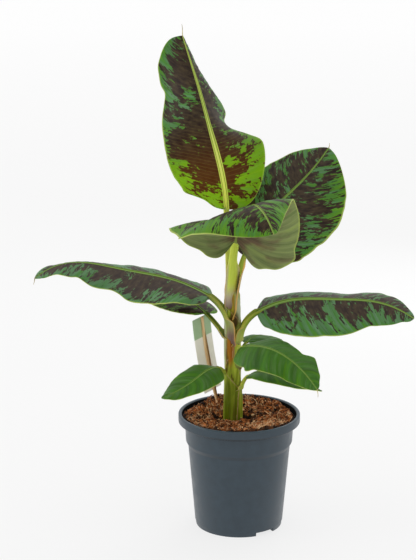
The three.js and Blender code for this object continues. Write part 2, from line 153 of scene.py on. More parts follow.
LEAVES = (
    {
        "name": "top", "blotched": 1, "seed": 3, "foot": (-13, 12, 300), "columns": 30, "rows": 150,
        "stalk": {"length": 148, "elevation": 86, "heading": 101, "width": 9,
            "thick": 1.0, "shade": (0.1, 0.1), "pale": (0.85, 0.15), "fade": (0.3, 0.55),
        },
        "length": 265, "elevation": (85, 58, 50, 56), "heading": (134, 112, 121), "roll": (28, 12, 17),
        "rounds": (0.34, 0.37), "thread": (17, 85), "wave": 1.2, "glow": (0.08, 0.62), "young": 1,
        # The first tint is painted sheen: the upper left is drawn blue-grey
        "rib": 0.6, "tints": ((0.75, 0.7, 0.3, 0.4, 0.5), (0.2, 0, 0.3, 2, -0.5)),
        "left": {
            "edge": (
                0.85, 0.85, 1.2, 1.13, 1.08, 1.06, 1.04, 1.03, 1.02, 1.02, 1.01, 1.01, 1.02,
                1.04, 1.05, 1.06, 1.05, 0.99, 0.94, 1.03, 1.05, 1.07, 1, 0.95, 0.97,
            ),
            "width": (72, 66, 58), "fold": (21, -6, -20, -34, -11), "sweep": (0.2, -0.2, 0.2),
            "veins": (0.3, 1.0),
        },
        "right": {
            "edge": (
                1, 1, 1, 1, 1, 1.01, 1.02, 1.02, 1, 0.97, 0.96, 0.97, 0.88, 0.9, 1.02, 1.12,
                1.16, 1.1, 0.92, 0.89, 0.88, 0.87, 0.9, 1, 1.1,
            ),
            "width": (72, 69, 58), "fold": (41, 4, -54, -55, -71), "sweep": (0, 0.1, -0.6),
            "veins": (-0.1, 0.8),
        },
        "dark": 0.1,
        "patches": (
            (0.62, -0.75, 0.05, 0.3, -0.6), (0.63, 0.3, 0.05, 0.25, -0.9), (0.9, 0.85, 0.14, 0.35, -0.6), (0.4, 0.4, 0.2, 0.45, 0.35),
            (0.2, 0.85, 0.08, 0.25, -0.6), (0.25, -0.75, 0.16, 0.3, -0.8), (0.07, 0.3, 0.05, 0.6, -0.4),
            (0.5, -0.3, 0.12, 0.4, 0.4), (0.78, 0.25, 0.1, 0.3, 0.5), (0.12, 0.45, 0.04, 0.25, -0.6),
            (0.3, 0.75, 0.03, 0.2, -0.6), (0.42, 0.62, 0.025, 0.12, -0.9), (0.14, -0.35, 0.03, 0.2, -0.5),
            (0.2, 0.45, 0.08, 0.35, 0.6),
        ),
    },
    {
        "name": "front", "blotched": 1, "seed": 11, "foot": (-12, -2, 300), "columns": 34, "rows": 130,
        "stalk": {"length": 129, "elevation": 100, "heading": -73, "width": 10,
            "thick": 1.12, "shade": (0, 0), "pale": (1, 0), "wing": (12.5, 7.5), "reach": 0.7,
            "fade": (0.2, 0.42), "bloom": 0.85, "stain": (0.27, 0.06, 0),
        },
        "length": 227, "elevation": (46, 28, 31, -4, -42), "heading": (-84, -79, -67), "roll": (11, -8, -3),
        "rounds": (0.39, 0.53), "wave": 1.0, "glow": (0.12, 0.12), "young": 0.3, "cool": -0.5,
        "left": {
            "width": (102, 65, 37), "fold": (-58, -27, 0, -17, -27), "sweep": (0,),
            "edge": (
                1.2, 1.05, 0.96, 1.02, 1.05, 1.08, 1, 1, 1, 1, 1, 1, 1, 1, 1, 1, 1, 1, 1, 1,
                1, 1, 1, 1, 1,
            ),
        },
        "right": {
            "width": (82, 99, 90), "fold": (-69, -8.5, -13, -15, -27), "sweep": (0.2, 0.1, 0),
            "edge": (
                1.2, 1.1, 1.02, 0.95, 1.03, 1.06, 1.12, 1.09, 1.07, 1.05, 1.01, 1.01, 1.03,
                1.07, 1.11, 1, 1, 1, 1, 1, 1, 1, 1, 1, 1,
            ),
        },
        "dark": -0.25,
        "patches": (
            (0.6, -0.35, 0.09, 0.22, 0.9), (0.45, 0.5, 0.08, 0.4, 0.5), (0.85, -0.25, 0.14, 0.28, 0.15),
            (0.8, -0.6, 0.12, 0.25, -0.5), (0.75, 0.3, 0.15, 0.4, -0.3),
        ),
    },
    {
        "name": "back_right", "blotched": 1, "seed": 23, "foot": (-6, 9, 300), "columns": 32, "rows": 120,
        "stalk": {"length": 86, "elevation": 94, "heading": 33, "width": 6.5,
            "thick": 1.3, "shade": (0.3, 0.55), "pale": (0.1, 0), "wing": (4.5, 15), "reach": 1.0,
            "foot": 0.6, "dry": 1,
        },
        "length": 204, "elevation": (68, 33, 39), "heading": (15, 36, 47), "roll": (-28, -24, -15),
        "rounds": (0.47, 0.59), "thread": (8, 70), "wave": 1.0, "cool": 0.2,
        "tints": ((0.8, -0.9, 0.25, 0.35, -0.7),),
        "left": {
            "width": (58,), "fold": (5,), "sweep": (0,),
            "edge": (
                1, 1, 1, 1, 1, 1, 1, 1, 1, 1, 1, 1, 1.04, 1.04, 1.04, 1.04, 1.06, 1.05, 1.05,
                1.07, 1.09, 1.1, 1.12, 1.04, 0.95,
            ),
        },
        "right": {
            "width": (85, 80, 64), "fold": (-26, -20, -11), "sweep": (0, 0.2, -0.1),
            "edge": (
                1.2, 1.2, 1.2, 1.19, 1.12, 1.09, 1.06, 1.03, 1.04, 1.03, 1.02, 1.02, 1.03, 1.03,
                1.03, 1.03, 1.05, 1.06, 1.08, 1.07, 1.06, 1.05, 1.04, 1.05, 1.1,
            ),
        },
        "dark": 0.1,
        "patches": (
            (0.5, -0.75, 0.06, 0.4, 0.5), (0.75, -0.8, 0.15, 0.3, -0.5), (0.35, -0.35, 0.07, 0.3, 0.4),
            (0.3, -0.8, 0.08, 0.3, -0.3), (0.55, 0.75, 0.3, 0.35, -0.4),
        ),
    },
    {
        "name": "left", "blotched": 1, "seed": 31, "foot": (-15, 4, 265), "columns": 26, "rows": 150,
        "stalk": {"length": 73, "elevation": 108, "heading": 162, "width": 10,
            "thick": 1.3, "shade": (0.25, 0.75), "pale": (0.7, 0.1), "wing": (16, 9), "reach": 0.6, "sag": 2.5,
            # Its stain, kept to one side, is painted shadow along the flange's edge
            "bloom": 0.5, "stain": (0.5, 0.15, 1),
        },
        "length": 257, "elevation": (27, 11, 10, -39), "heading": (164, 184, 180), "roll": (-2, 12, 1),
        "rounds": (0.3, 0.6), "thread": (10, -75), "wave": 1.6, "cool": 0.9,
        "left": {
            "width": (53, 46, 30), "fold": (-14, -30, -30), "sweep": (0,),
            "edge": (
                1.03, 1.03, 1.03, 1.03, 1.03, 1.05, 1.07, 1.1, 1.07, 1.1, 1.11, 1.07, 0.96,
                0.93, 1, 1.09, 1.14, 1.09, 0.99, 1.1, 1.12, 1.03, 1.05, 1.12, 1.1,
            ),
        },
        "right": {
            "width": (46, 36, 27), "fold": (-6, -10, -13, -17, -23, -20, 40), "sweep": (0,),
            "edge": (
                1, 1.35, 1.28, 1.2, 1.13, 0.92, 0.88, 0.97, 1.05, 1.05, 1.05, 1.05, 1.05, 1.05,
                1.05, 1.05, 1.05, 1.05, 1.05, 1.1, 1.1, 1.1, 1.1, 1.05, 1,
            ),
        },
        "dark": 0.1,
        "patches": (
            (0.3, 0.35, 0.35, 0.35, 0.3), (0.15, 0.85, 0.15, 0.3, -0.5), (0.62, 0.8, 0.12, 0.2, -0.6),
            (0.53, 0.5, 0.08, 0.25, 0.25),
            (0.62, 0.35, 0.05, 0.2, -0.7), (0.35, 0.2, 0.03, 0.12, -0.7), (0.75, 0.4, 0.1, 0.4, 0.3),
            (0.92, 0.3, 0.1, 0.7, -0.2), (0.4, 0.75, 0.06, 0.2, 0.5), (0.45, -0.6, 0.5, 0.5, -0.7),
        ),
    },
    {
        "name": "right", "blotched": 1, "seed": 47, "foot": (1, 3, 260), "columns": 26, "rows": 130,
        "stalk": {"length": 56, "elevation": 100, "heading": -9, "width": 9.5,
            "thick": 1.35, "shade": (0.1, 0.75), "pale": (0.3, 0), "wing": (9, 11), "reach": 0.6, "sag": 1.2,
        },
        "length": 227, "elevation": (31, 5, 0, -32), "heading": (-8, -17, -14), "roll": (-17, -15, -27),
        # Its tint is painted sheen: the far half is drawn grey-teal
        "rounds": (0.36, 0.56), "wave": 1.2, "cool": 0.5, "tints": ((0.5, 0.6, 0.6, 0.4, 0.7),),
        "left": {
            "width": (43, 39, 35), "fold": (-8, -20, -4), "sweep": (0,),
            "edge": (
                0.9, 1.45, 1.12, 1.03, 0.92, 0.9, 0.93, 0.96, 1.05, 1.12, 1.18, 1.15, 1.1, 1.05,
                0.92, 0.92, 1.06, 1.15, 1.15, 1.03, 1.12, 1.08, 1, 0.95, 1,
            ),
        },
        "right": {
            "width": (56, 54, 39), "fold": (-28, -42, -38), "sweep": (0,),
            "edge": (
                1.2, 1.02, 1.03, 1.04, 1.03, 1.03, 1.03, 1.02, 1.02, 1.02, 1.01, 0.99, 1.01,
                1.03, 1.04, 1.04, 1.02, 0.99, 0.97, 1.03, 1.07, 1.12, 1.12, 0.97, 1.19,
            ),
        },
        "dark": -0.22,
        "patches": (
            (0.4, -0.85, 0.3, 0.25, -0.6), (0.12, -0.35, 0.05, 0.3, 0.5), (0.24, -0.4, 0.06, 0.5, -0.7),
            (0.04, -0.4, 0.04, 0.5, -0.5), (0.35, -0.4, 0.05, 0.4, 0.2), (0.48, -0.45, 0.04, 0.5, -0.5),
            (0.66, -0.3, 0.07, 0.4, 0.5), (0.82, -0.6, 0.1, 0.4, -0.2), (0.4, 0.6, 0.4, 0.4, -0.35),
        ),
    },
    {
        "name": "back_left", "blotched": 0.5, "seed": 53, "foot": (-17, 8, 264), "columns": 16, "rows": 70,
        "stalk": {"length": 53, "elevation": 60, "heading": 154, "width": 5.5,
            "thick": 1.35, "shade": (0.5, 0.95), "pale": (0.4, 0), "wing": (8, 7), "reach": 0.4,
        },
        "length": 125, "elevation": (17, 3, -6), "heading": (122, 147, 166), "roll": (-1,),
        "rounds": (0.36, 0.56), "wave": 0.8, "cool": -0.7,
        "left": {
            "width": (33,), "fold": (-7, -14, -12), "sweep": (0,),
            "edge": (
                1.2, 0.99, 1.01, 1.03, 1.11, 1.14, 1.17, 1.17, 1.16, 1.14, 1.15, 1.14, 1.12,
                1.14, 1.14, 1.15, 1.17, 1.15, 1.19, 1.2, 1.2, 1, 1, 1, 1,
            ),
        },
        "right": {"width": (40,), "fold": (-14, -12, -7), "sweep": (0,)},
        # Painted shade: its blotching is raised so that it is drawn dark where the left leaf shades it
        "dark": 0.25, "patches": (),
    },
    {
        "name": "low_front_right", "blotched": 0, "seed": 61, "foot": (-2, -1, 224), "columns": 20,
        "rows": 100, "stalk": {"length": 55, "elevation": 94, "heading": -101, "width": 5.5,
            "thick": 1.0, "shade": (0.5, 0.5), "pale": (0.2, 0),
        },
        "length": 172, "elevation": (20, 9, -21, -45), "heading": (-72, -47, -40), "roll": (-14,),
        "rounds": (0.44, 0.56), "thread": (11, -85), "wave": 1.3,
        "left": {
            "width": (30, 33, 36), "fold": (0, -14, -1), "sweep": (0,),
            "edge": (
                1, 1, 1, 1, 1, 1.1, 1.2, 1.25, 1.21, 1.13, 1.11, 1.08, 1.05, 1, 0.94, 0.9, 0.91,
                1.13, 1.25, 1.14, 1.02, 0.98, 1.01, 0.85, 0.9,
            ),
        },
        "right": {
            "width": (40, 38, 34), "fold": (-30, -21, -7), "sweep": (0,),
            "edge": (
                1, 1, 1, 1, 1, 1, 1, 1, 1, 1.12, 1.1, 1, 1, 1, 1, 1, 1, 1, 1, 1.05, 1.05, 1.05,
                1.05, 1.05, 1,
            ),
        },
        "dark": -1, "patches": (),
    },
    {
        "name": "low_back_right", "blotched": 0, "seed": 71, "foot": (-1, 10, 238), "columns": 14,
        "rows": 48, "stalk": {"length": 28, "elevation": 70, "heading": 53, "width": 4.5,
            "thick": 1.0, "shade": (0.5, 0.7), "pale": (0.2, 0),
        },
        "length": 68, "elevation": (18, -11, -21), "heading": (58, 37, 15), "roll": (2,),
        "rounds": (0.36, 0.4), "wave": 0.4,
        "left": {"width": (17, 20, 23), "fold": (-7,), "sweep": (0,)},
        "right": {"width": (23,), "fold": (-6,), "sweep": (0,)},
        "dark": -1, "patches": (),
    },
    {
        "name": "low_right", "blotched": 0, "seed": 83, "foot": (3, 4, 192), "columns": 14, "rows": 70,
        "stalk": {"length": 31, "elevation": 93, "heading": -11, "width": 4.5,
            "thick": 1.5, "shade": (0.2, 0.3), "pale": (0, 0),
        },
        "length": 121, "elevation": (32, -10, -21), "heading": (-56, -26, 0), "roll": (-6,),
        "rounds": (0.36, 0.56), "wave": 0.5,
        "left": {"width": (8,), "fold": (18, 7, -3), "sweep": (0,)},
        "right": {
            "width": (20,), "fold": (-13, -7, 6), "sweep": (0,),
            "edge": (
                1, 1, 1, 1, 1, 0.97, 1.06, 1.1, 1.14, 1.17, 1.19, 1.19, 1.18, 1.18, 1.2, 1.21,
                1.2, 1.24, 1.21, 1.12, 1, 1, 1, 1, 1,
            ),
        },
        "dark": -1, "patches": (),
    },
    {
        "name": "low_front_left", "blotched": 0, "seed": 97, "foot": (-16, 8, 205), "columns": 16,
        "rows": 70, "stalk": {"length": 36, "elevation": 83, "heading": 203, "width": 5,
            "thick": 1.2, "shade": (0.4, 0.5), "pale": (0.2, 0),
        },
        "length": 123, "elevation": (18, -15, -16), "heading": (248, 232, 200), "roll": (6,),
        "rounds": (0.44, 0.56), "wave": 0.8,
        "left": {
            "width": (28,), "fold": (-31, -11, 1), "sweep": (0,),
            "edge": (
                1, 1, 1, 1, 1, 1, 1, 1, 1, 1, 1, 1, 1, 1, 1, 0.99, 0.99, 0.97, 0.98, 1.02, 1.12,
                1.21, 1.25, 1, 1,
            ),
        },
        "right": {
            "width": (29,), "fold": (-6, -5, -10), "sweep": (0,),
            "edge": (
                1, 1, 1.25, 1.14, 1.14, 1.07, 1.02, 1, 0.98, 0.95, 0.94, 0.94, 0.96, 0.99, 1.03,
                1.11, 1.15, 1.19, 1.19, 1.19, 1.21, 1.21, 1.21, 1, 1,
            ),
        },
        "dark": -1, "patches": (),
    },
)

# Sheaths round the stem, the innermost first: the leaf's heading, and the half angle that the sheath
# covers at falling heights, in degrees and millimetres

SHEATHS = (
    {"heading": 101, "rim": ((345, 50), (320, 90), (270, 182))},
    {"heading": 33, "rim": ((340, 48), (300, 95), (280, 125), (250, 182))},
    {"heading": 287, "rim": ((338, 60), (318, 80), (300, 110), (280, 182))},
    {"heading": 162, "rim": ((326, 30), (315, 54), (308, 106), (299.5, 148), (293, 167), (286, 184))},
    {"heading": 351, "rim": ((300, 8), (288, 22), (282, 64), (271, 81), (244, 81), (236, 100), (212, 182))},
    {"heading": 154, "rim": ((288, 25), (271, 62), (229, 65), (208, 110), (190, 182))},
    {"heading": 53, "rim": ((248, 30), (232, 60), (200, 110), (170, 182))},
    {"heading": 259, "rim": ((242, 20), (230, 50), (216, 74), (202, 110), (184, 182))},
    {"heading": 203, "rim": ((222, 15), (214, 42), (205, 80), (192, 130), (178, 182))},
    {"heading": 349, "rim": ((207, 10), (196, 38), (180, 52), (144, 56))},
)

# Stains on the stem: kind, angle round it, height, and how far it spreads in degrees and millimetres

STAINS = (
    ("silver", 312, 322, 30, 28, 0.9), ("silver", 350, 305, 26, 20, 1.0), ("orange", 276, 320, 18, 22, 0.6), ("purple", 208, 324, 22, 16, 0.6),
    ("purple", 282, 297, 46, 13, 1.2), ("purple", 245, 319, 26, 7, 0.8), ("silver", 205, 300, 26, 22, 0.6),
    ("bright", 240, 294, 14, 12, 0.5), ("silver", 198, 262, 20, 44, 0.8), ("purple", 223, 252, 7, 38, 0.7),
    ("bright", 236, 272, 10, 16, 0.5), ("orange", 242, 252, 11, 20, 0.6), ("orange", 256, 263, 30, 32, 1.3),
    ("purple", 262, 268, 8, 26, 0.6), ("silver", 281, 264, 8, 26, 0.6), ("bright", 325, 258, 42, 32, 0.9),
    ("silver", 310, 276, 14, 12, 0.35), ("purple", 236, 234, 9, 12, 0.8), ("orange", 220, 230, 9, 12, 0.4),
    ("bright", 280, 232, 28, 14, 0.6), ("bright", 206, 214, 20, 12, 0.5), ("purple", 261, 216, 8, 4, 0.8),
    ("purple", 270, 211, 9, 3, 0.8), ("purple", 224, 224, 14, 3, 0.4), ("bright", 184, 176, 18, 44, 0.4),
    ("olive", 234, 176, 30, 44, 0.9), ("bright", 262, 180, 10, 40, 0.25), ("purple", 277, 158, 9, 30, 0.5),
    ("orange", 296, 172, 8, 30, 0.25), ("olive", 290, 176, 14, 44, 0.6), ("bright", 328, 178, 20, 44, 0.3),
)

# Label and stick

LABEL = {
    "top": (-54, 55, 286), "width": 36, "height": 111, "thickness": 1.2, "yaw": 47.5, "lean": 8,
    "bow": (-1.5, 10.7),
}
STICK = {"width": 4.4, "thickness": 2.2, "length": 148, "point": 16, "aside": 1}
CLEARANCE = 0.3

# Settings


class StageSettings(bpy.types.PropertyGroup):
    """The floor and the studio light."""

    floor: FloatVectorProperty(
        name="Floor", description="Colour of the floor", subtype="COLOR", min=0, max=1, default=linear("#696969")
    )
    sky: FloatProperty(
        name="Room light", description="Strength of the even light from all round", min=0, default=0.95
    )
    top_power: FloatProperty(
        name="Top softbox", description="Power of the softbox over the plant", min=0, default=3, unit="POWER"
    )
    back_power: FloatProperty(
        name="Back softbox", description="Power of the softbox behind the leaves", min=0, default=8,
        unit="POWER",
    )
    side_power: FloatProperty(
        name="Side softboxes", description="Power of each softbox beside the plant", min=0, default=2.5,
        unit="POWER",
    )


class PotSettings(bpy.types.PropertyGroup):
    """The nursery pot."""

    plastic: FloatVectorProperty(
        name="Plastic", description="Colour of the pot", subtype="COLOR", min=0, max=1, default=linear("#293842")
    )
    lip: FloatProperty(
        name="Lip rounding", description="Radius of the rolled lip's edges", default=1.6 * MM, min=0.2 * MM,
        max=2.2 * MM, subtype="DISTANCE", unit="LENGTH",
    )


class SoilSettings(bpy.types.PropertyGroup):
    """The coconut fibre in the pot."""

    coir: FloatVectorProperty(
        name="Coir", description="Colour of the moist coir", subtype="COLOR", min=0, max=1, default=linear("#98592b")
    )
    fibres: IntProperty(name="Fibres", description="How many loose fibres lie on top", default=3200, min=0)
    chips: IntProperty(name="Chips", description="How many bits of husk lie on top", default=2200, min=0)
    fibre_length: FloatProperty(
        name="Fibre length", description="Longest loose fibre", default=30 * MM, min=5 * MM, subtype="DISTANCE",
        unit="LENGTH",
    )


class StemSettings(bpy.types.PropertyGroup):
    """The pseudostem and the leaf stalks."""

    sheath: FloatVectorProperty(
        name="Sheath", description="Colour of the stem", subtype="COLOR", min=0, max=1, default=linear("#8b9826")
    )
    stalk: FloatVectorProperty(
        name="Stalk", description="Colour of the leaf stalks", subtype="COLOR", min=0, max=1,
        default=linear("#e4ee6c"),
    )
    step: FloatProperty(
        name="Sheath step", description="How far each sheath stands proud", default=0.55 * MM, min=0,
        max=1 * MM, subtype="DISTANCE", unit="LENGTH",
    )


class LeafSettings(bpy.types.PropertyGroup):
    """The leaf blades."""

    green: FloatVectorProperty(
        name="Green", description="Upper side of a leaf", subtype="COLOR", min=0, max=1, default=linear("#427733")
    )
    plain: FloatVectorProperty(
        name="Plain green", description="Upper side of an unblotched leaf", subtype="COLOR", min=0, max=1,
        default=linear("#37671c"),
    )
    rib: FloatVectorProperty(
        name="Midrib", description="Upper side of the rib", subtype="COLOR", min=0, max=1,
        default=linear("#7c9c48"),
    )
    young_rib: FloatVectorProperty(
        name="Young midrib", description="Upper side of the newest leaf's rib", subtype="COLOR", min=0, max=1,
        default=linear("#faff82"),
    )
    blotch: FloatVectorProperty(
        name="Blotch", description="Dark blotches", subtype="COLOR", min=0, max=1, default=linear("#1c0f0e")
    )
    thickness: FloatProperty(
        name="Blade thickness", description="Between the ribs", default=0.7 * MM, min=0.3 * MM, max=2 * MM,
        subtype="DISTANCE", unit="LENGTH",
    )
    vein_pitch: FloatProperty(
        name="Vein spacing", description="Between two side veins", default=5.2 * MM, min=2 * MM,
        subtype="DISTANCE", unit="LENGTH",
    )


class LabelSettings(bpy.types.PropertyGroup):
    """The blank label and its stick."""

    card: FloatVectorProperty(
        name="Card", description="Colour of the card", subtype="COLOR", min=0, max=1, default=linear("#f3f0e6")
    )
    band: FloatVectorProperty(
        name="Band", description="Colour of the band across the top", subtype="COLOR", min=0, max=1,
        default=linear("#a3c198"),
    )


class PlantSettings(bpy.types.PropertyGroup):
    """All that a user would change."""

    stage: PointerProperty(type=StageSettings)
    pot: PointerProperty(type=PotSettings)
    soil: PointerProperty(type=SoilSettings)
    stem: PointerProperty(type=StemSettings)
    leaf: PointerProperty(type=LeafSettings)
    label: PointerProperty(type=LabelSettings)


# Mesh helpers


def fresh():
    """Nothing is selected and no mesh is being edited."""
    if bpy.context.mode != "OBJECT":
        bpy.ops.object.mode_set(mode="OBJECT")
    bpy.ops.object.select_all(action="DESELECT")


def only(piece):
    """Selects one piece and makes it the active one."""
    fresh()
    piece.select_set(True)
    bpy.context.view_layer.objects.active = piece


def started(name):
    """The primitive that was just added, under its own name."""
    piece = bpy.context.active_object
    piece.name = name
    piece.data.name = name
    return piece


def pick(piece, kind, test):
    """In edit mode, selects just the vertices, edges or faces whose middle passes a test, in millimetres."""
    bpy.ops.mesh.select_mode(type={"verts": "VERT", "edges": "EDGE", "faces": "FACE"}[kind])
    bpy.ops.mesh.select_all(action="DESELECT")
    mesh = bmesh.from_edit_mesh(piece.data)
    for element in getattr(mesh, kind):
        corners = [element] if kind == "verts" else element.verts
        middle = sum((corner.co for corner in corners), Vector()) / len(corners)
        if test(middle / MM, element):
            element.select_set(True)
    mesh.select_flush_mode()
    bmesh.update_edit_mesh(piece.data)


def finish_with(piece, kind, **settings):
    """Adds a modifier, sets it and applies it."""
    only(piece)
    bpy.ops.object.modifier_add(type=kind)
    modifier = piece.modifiers[-1]
    for name, value in settings.items():
        setattr(modifier, name, value)
    bpy.ops.object.modifier_apply(modifier=modifier.name)


def tidy(piece, gap=1e-6, ends=False):
    """Merges doubles, closes open ends where asked and turns all faces outwards."""
    only(piece)
    bpy.ops.object.mode_set(mode="EDIT")
    bpy.ops.mesh.select_all(action="SELECT")
    bpy.ops.mesh.remove_doubles(threshold=gap)
    if ends:
        bpy.ops.mesh.select_all(action="SELECT")
        bpy.ops.mesh.fill_holes(sides=0)
    bpy.ops.mesh.select_all(action="SELECT")
    bpy.ops.mesh.normals_make_consistent(inside=False)
    bpy.ops.object.mode_set(mode="OBJECT")


def settle(piece, nodes=(), angle=40):
    """The piece keeps its place in its mesh, is smoothed, and joins the frame."""
    only(piece)
    bpy.ops.object.transform_apply(location=True, rotation=True, scale=True)
    bpy.ops.object.shade_smooth_by_angle(angle=math.radians(angle))
    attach(piece, BODY)
    if nodes:
        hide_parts(*nodes)
    return piece


def keep_values(piece, name, values):
    """Keeps a vector at every vertex under a name, for a material to read."""
    layer = piece.data.attributes.new(name, "FLOAT_VECTOR", "POINT")
    layer.data.foreach_set("vector", [number for value in values for number in value])


def shaped_grid(name, columns, rows, place):
    """A grid whose vertices lie where place(column, row) puts them, in millimetres.

    place gives the point, then the vectors to keep there: "grow" in metres, and "tone" and "glow" as shares.
    """
    fresh()
    bpy.ops.mesh.primitive_grid_add(x_subdivisions=columns, y_subdivisions=rows, size=2)
    piece = started(name)
    mesh = piece.data
    if len(mesh.vertices) != (columns + 1) * (rows + 1):
        raise RuntimeError(f"{name}: the grid has {len(mesh.vertices)} vertices")
    found = []
    for vertex in mesh.vertices:
        column = round((vertex.co.x + 1) / 2 * columns)
        row = round((vertex.co.y + 1) / 2 * rows)
        found.append(place(column, row))
    mesh.vertices.foreach_set("co", [number * MM for point, *_ in found for number in point])
    for index, kept in enumerate(("grow", "tone", "glow")[: len(found[0]) - 1]):
        keep_values(piece, kept, [values[index + 1] for values in found])
    mesh.update()
    return piece


def turned(name, profile, segments):
    """A body of revolution: a filled circle extruded ring by ring along (radius, height) pairs."""
    fresh()
    radius, height = profile[0]
    bpy.ops.mesh.primitive_circle_add(
        vertices=segments, radius=radius * MM, fill_type="NGON", location=(0, 0, height * MM)
    )
    piece = started(name)
    bpy.ops.object.transform_apply(location=True, rotation=True, scale=True)
    bpy.ops.object.mode_set(mode="EDIT")
    bpy.ops.mesh.select_all(action="SELECT")
    for wider, higher in profile[1:]:
        rise = (0, 0, (higher - height) * MM)
        bpy.ops.mesh.extrude_region_move(TRANSFORM_OT_translate={"value": rise})
        share = wider / radius
        bpy.ops.transform.resize(value=(share, share, 1), center_override=(0, 0, higher * MM))
        radius, height = wider, higher
    bpy.ops.mesh.select_all(action="SELECT")
    bpy.ops.mesh.normals_make_consistent(inside=False)
    bpy.ops.object.mode_set(mode="OBJECT")
    return piece


def cut_by(piece, cutter):
    """Takes one closed piece out of another."""
    finish_with(piece, "BOOLEAN", operation="DIFFERENCE", solver="EXACT", object=cutter)
    bpy.data.objects.remove(cutter, do_unlink=True)


def smooth(low, high, value):
    """0 below low and 1 above high, with a soft step between."""
    share = min(max((value - low) / (high - low), 0), 1)
    return share * share * (3 - 2 * share)


def mix(a, b, share):
    """The value a share of the way from a to b."""
    return a + (b - a) * share


# Leaf curves, as the frame's own


def along(values, t):
    """A smooth curve through evenly spaced values, at t from 0 to 1."""
    last = len(values) - 1
    if last == 0:
        return values[0]
    place = min(max(t, 0), 1) * last
    index = min(int(place), last - 1)
    share = place - index
    before = values[max(index - 1, 0)]
    a = values[index]
    b = values[index + 1]
    after = values[min(index + 2, last)]
    leave = (b - before) / 2
    arrive = (after - a) / 2
    cubic = (2 * a - 2 * b + leave + arrive) * share**3
    square = (3 * b - 3 * a - 2 * leave - arrive) * share**2
    return cubic + square + leave * share + a


def direction(elevation, heading):
    """The unit vector at an elevation and a heading in degrees."""
    e = math.radians(elevation)
    h = math.radians(heading)
    return Vector((math.cos(e) * math.cos(h), math.cos(e) * math.sin(h), math.sin(e)))


def frame_at(elevation, heading, roll):
    """Forward, left and upper-side directions. A roll lifts the right side."""
    forward = direction(elevation, heading)
    left = Quaternion(forward, -math.radians(roll)) @ direction(0, heading + 90)
    return forward, left, forward.cross(left)


def walk(start, length, steps, aim):
    """Points along a curve that starts at a point and follows aim(t)."""
    points = [Vector(start)]
    for step in range(steps):
        points.append(points[-1] + aim((step + 0.5) / steps) * (length / steps))
    return points


def at_share(points, t):
    """The point a share of the way along an evenly stepped curve."""
    place = min(max(t, 0), 1) * (len(points) - 1)
    index = min(int(place), len(points) - 2)
    return points[index].lerp(points[index + 1], place - index)


def petiole_axis(leaf):
    """The petiole's axis: it starts at its own angles and turns into the blade's."""
    stalk = leaf["stalk"]

    def aim(t):
        elevation = mix(stalk["elevation"], leaf["elevation"][0], t)
        return direction(elevation, mix(stalk["heading"], leaf["heading"][0], t))

    return walk(leaf["foot"], stalk["length"], AXIS_STEPS, aim)


def blade_axis(leaf):
    """The midrib's axis, from just past the petiole to the tip."""
    seat = petiole_axis(leaf)[-1]
    start = seat + direction(leaf["elevation"][0], leaf["heading"][0]) * CLEARANCE

    def aim(t):
        return direction(along(leaf["elevation"], t), along(leaf["heading"], t))

    return walk(start, leaf["length"], AXIS_STEPS, aim)


def outline(t, rounds):
    """The rounded outline of a half blade, 1 at its widest."""
    base, tip = rounds
    widest = base / (base + tip)
    return (t / widest) ** base * (max(1 - t, 0) / (1 - widest)) ** tip


def blade_width(leaf, half, t):
    """How far the margin stands from the midrib: the rounded outline, trimmed by the half's own edge."""
    least = mix(leaf["stalk"]["width"] * 0.45, 0.9, t)
    return max(along(half["width"], t) * outline(t, leaf["rounds"]) * along(half.get("edge", (1,)), t), least)


def blade_point(leaf, axis, side, t, share, width):
    """A point of the blade's upper skin at a share of the way out, and the skin's normal there."""
    half = leaf["left"] if side == 1 else leaf["right"]
    forward, left, up = frame_at(
        along(leaf["elevation"], t), along(leaf["heading"], t), along(leaf["roll"], t)
    )
    fold = along(half["fold"], t)
    rise = math.radians(fold + CURL * (share / 2 - 0.5))
    slope = math.radians(fold + CURL * (share - 0.5))
    outward = left * (side * math.cos(rise)) + up * math.sin(rise)
    normal = left * (-side * math.sin(slope)) + up * math.cos(slope)
    swept = forward * (width * along(half["sweep"], t) * share**2)
    return at_share(axis, t) + outward * (share * width) + swept, normal


def soil_top(x, y):
    """The coir's height at a place."""
    share = math.hypot(x, y) / MOUTH
    lumps = math.sin(x / 5.1 + y / 9.7) * math.cos(y / 6.3 - x / 11.9) + math.sin(y / 14.2 + 1)
    height = SOIL_LEVEL + SOIL_RISE * share**2 + SOIL_LUMP * lumps
    for bump in (HEAP, *HOLLOWS):
        away = (x - bump["x"]) ** 2 + (y - bump["y"]) ** 2
        height += bump["height"] * math.exp(-away / bump["spread"] ** 2)
    return height


def stem_at(z):
    """The stem's middle and radius at a height."""
    for (x0, y0, z0, r0), (x1, y1, z1, r1) in zip(STEM, STEM[1:]):
        if z <= z1 or z1 == STEM[-1][2]:
            share = (z - z0) / (z1 - z0)
            return mix(x0, x1, share), mix(y0, y1, share), mix(r0, r1, share)


def label_at(reach):
    """The label's middle, side and face directions at a distance down from its upper edge."""
    turn = math.radians(LABEL["yaw"])
    lean = math.radians(LABEL["lean"])
    across = Vector((math.cos(turn), math.sin(turn), 0))
    ahead = Vector((math.sin(turn), -math.cos(turn), 0))

    def directions(distance):
        bow = math.radians(mix(*LABEL["bow"], distance / LABEL["height"]))
        rising = Vector((0, 0, math.cos(bow))) - ahead * math.sin(bow)
        up = rising * math.cos(lean) - across * math.sin(lean)
        side = across * math.cos(lean) + rising * math.sin(lean)
        return up, side

    steps = 24
    centre = Vector(LABEL["top"])
    for step in range(steps):
        centre -= directions((step + 0.5) * reach / steps)[0] * (reach / steps)
    up, side = directions(reach)
    return centre, side, side.cross(up)


# Material helper


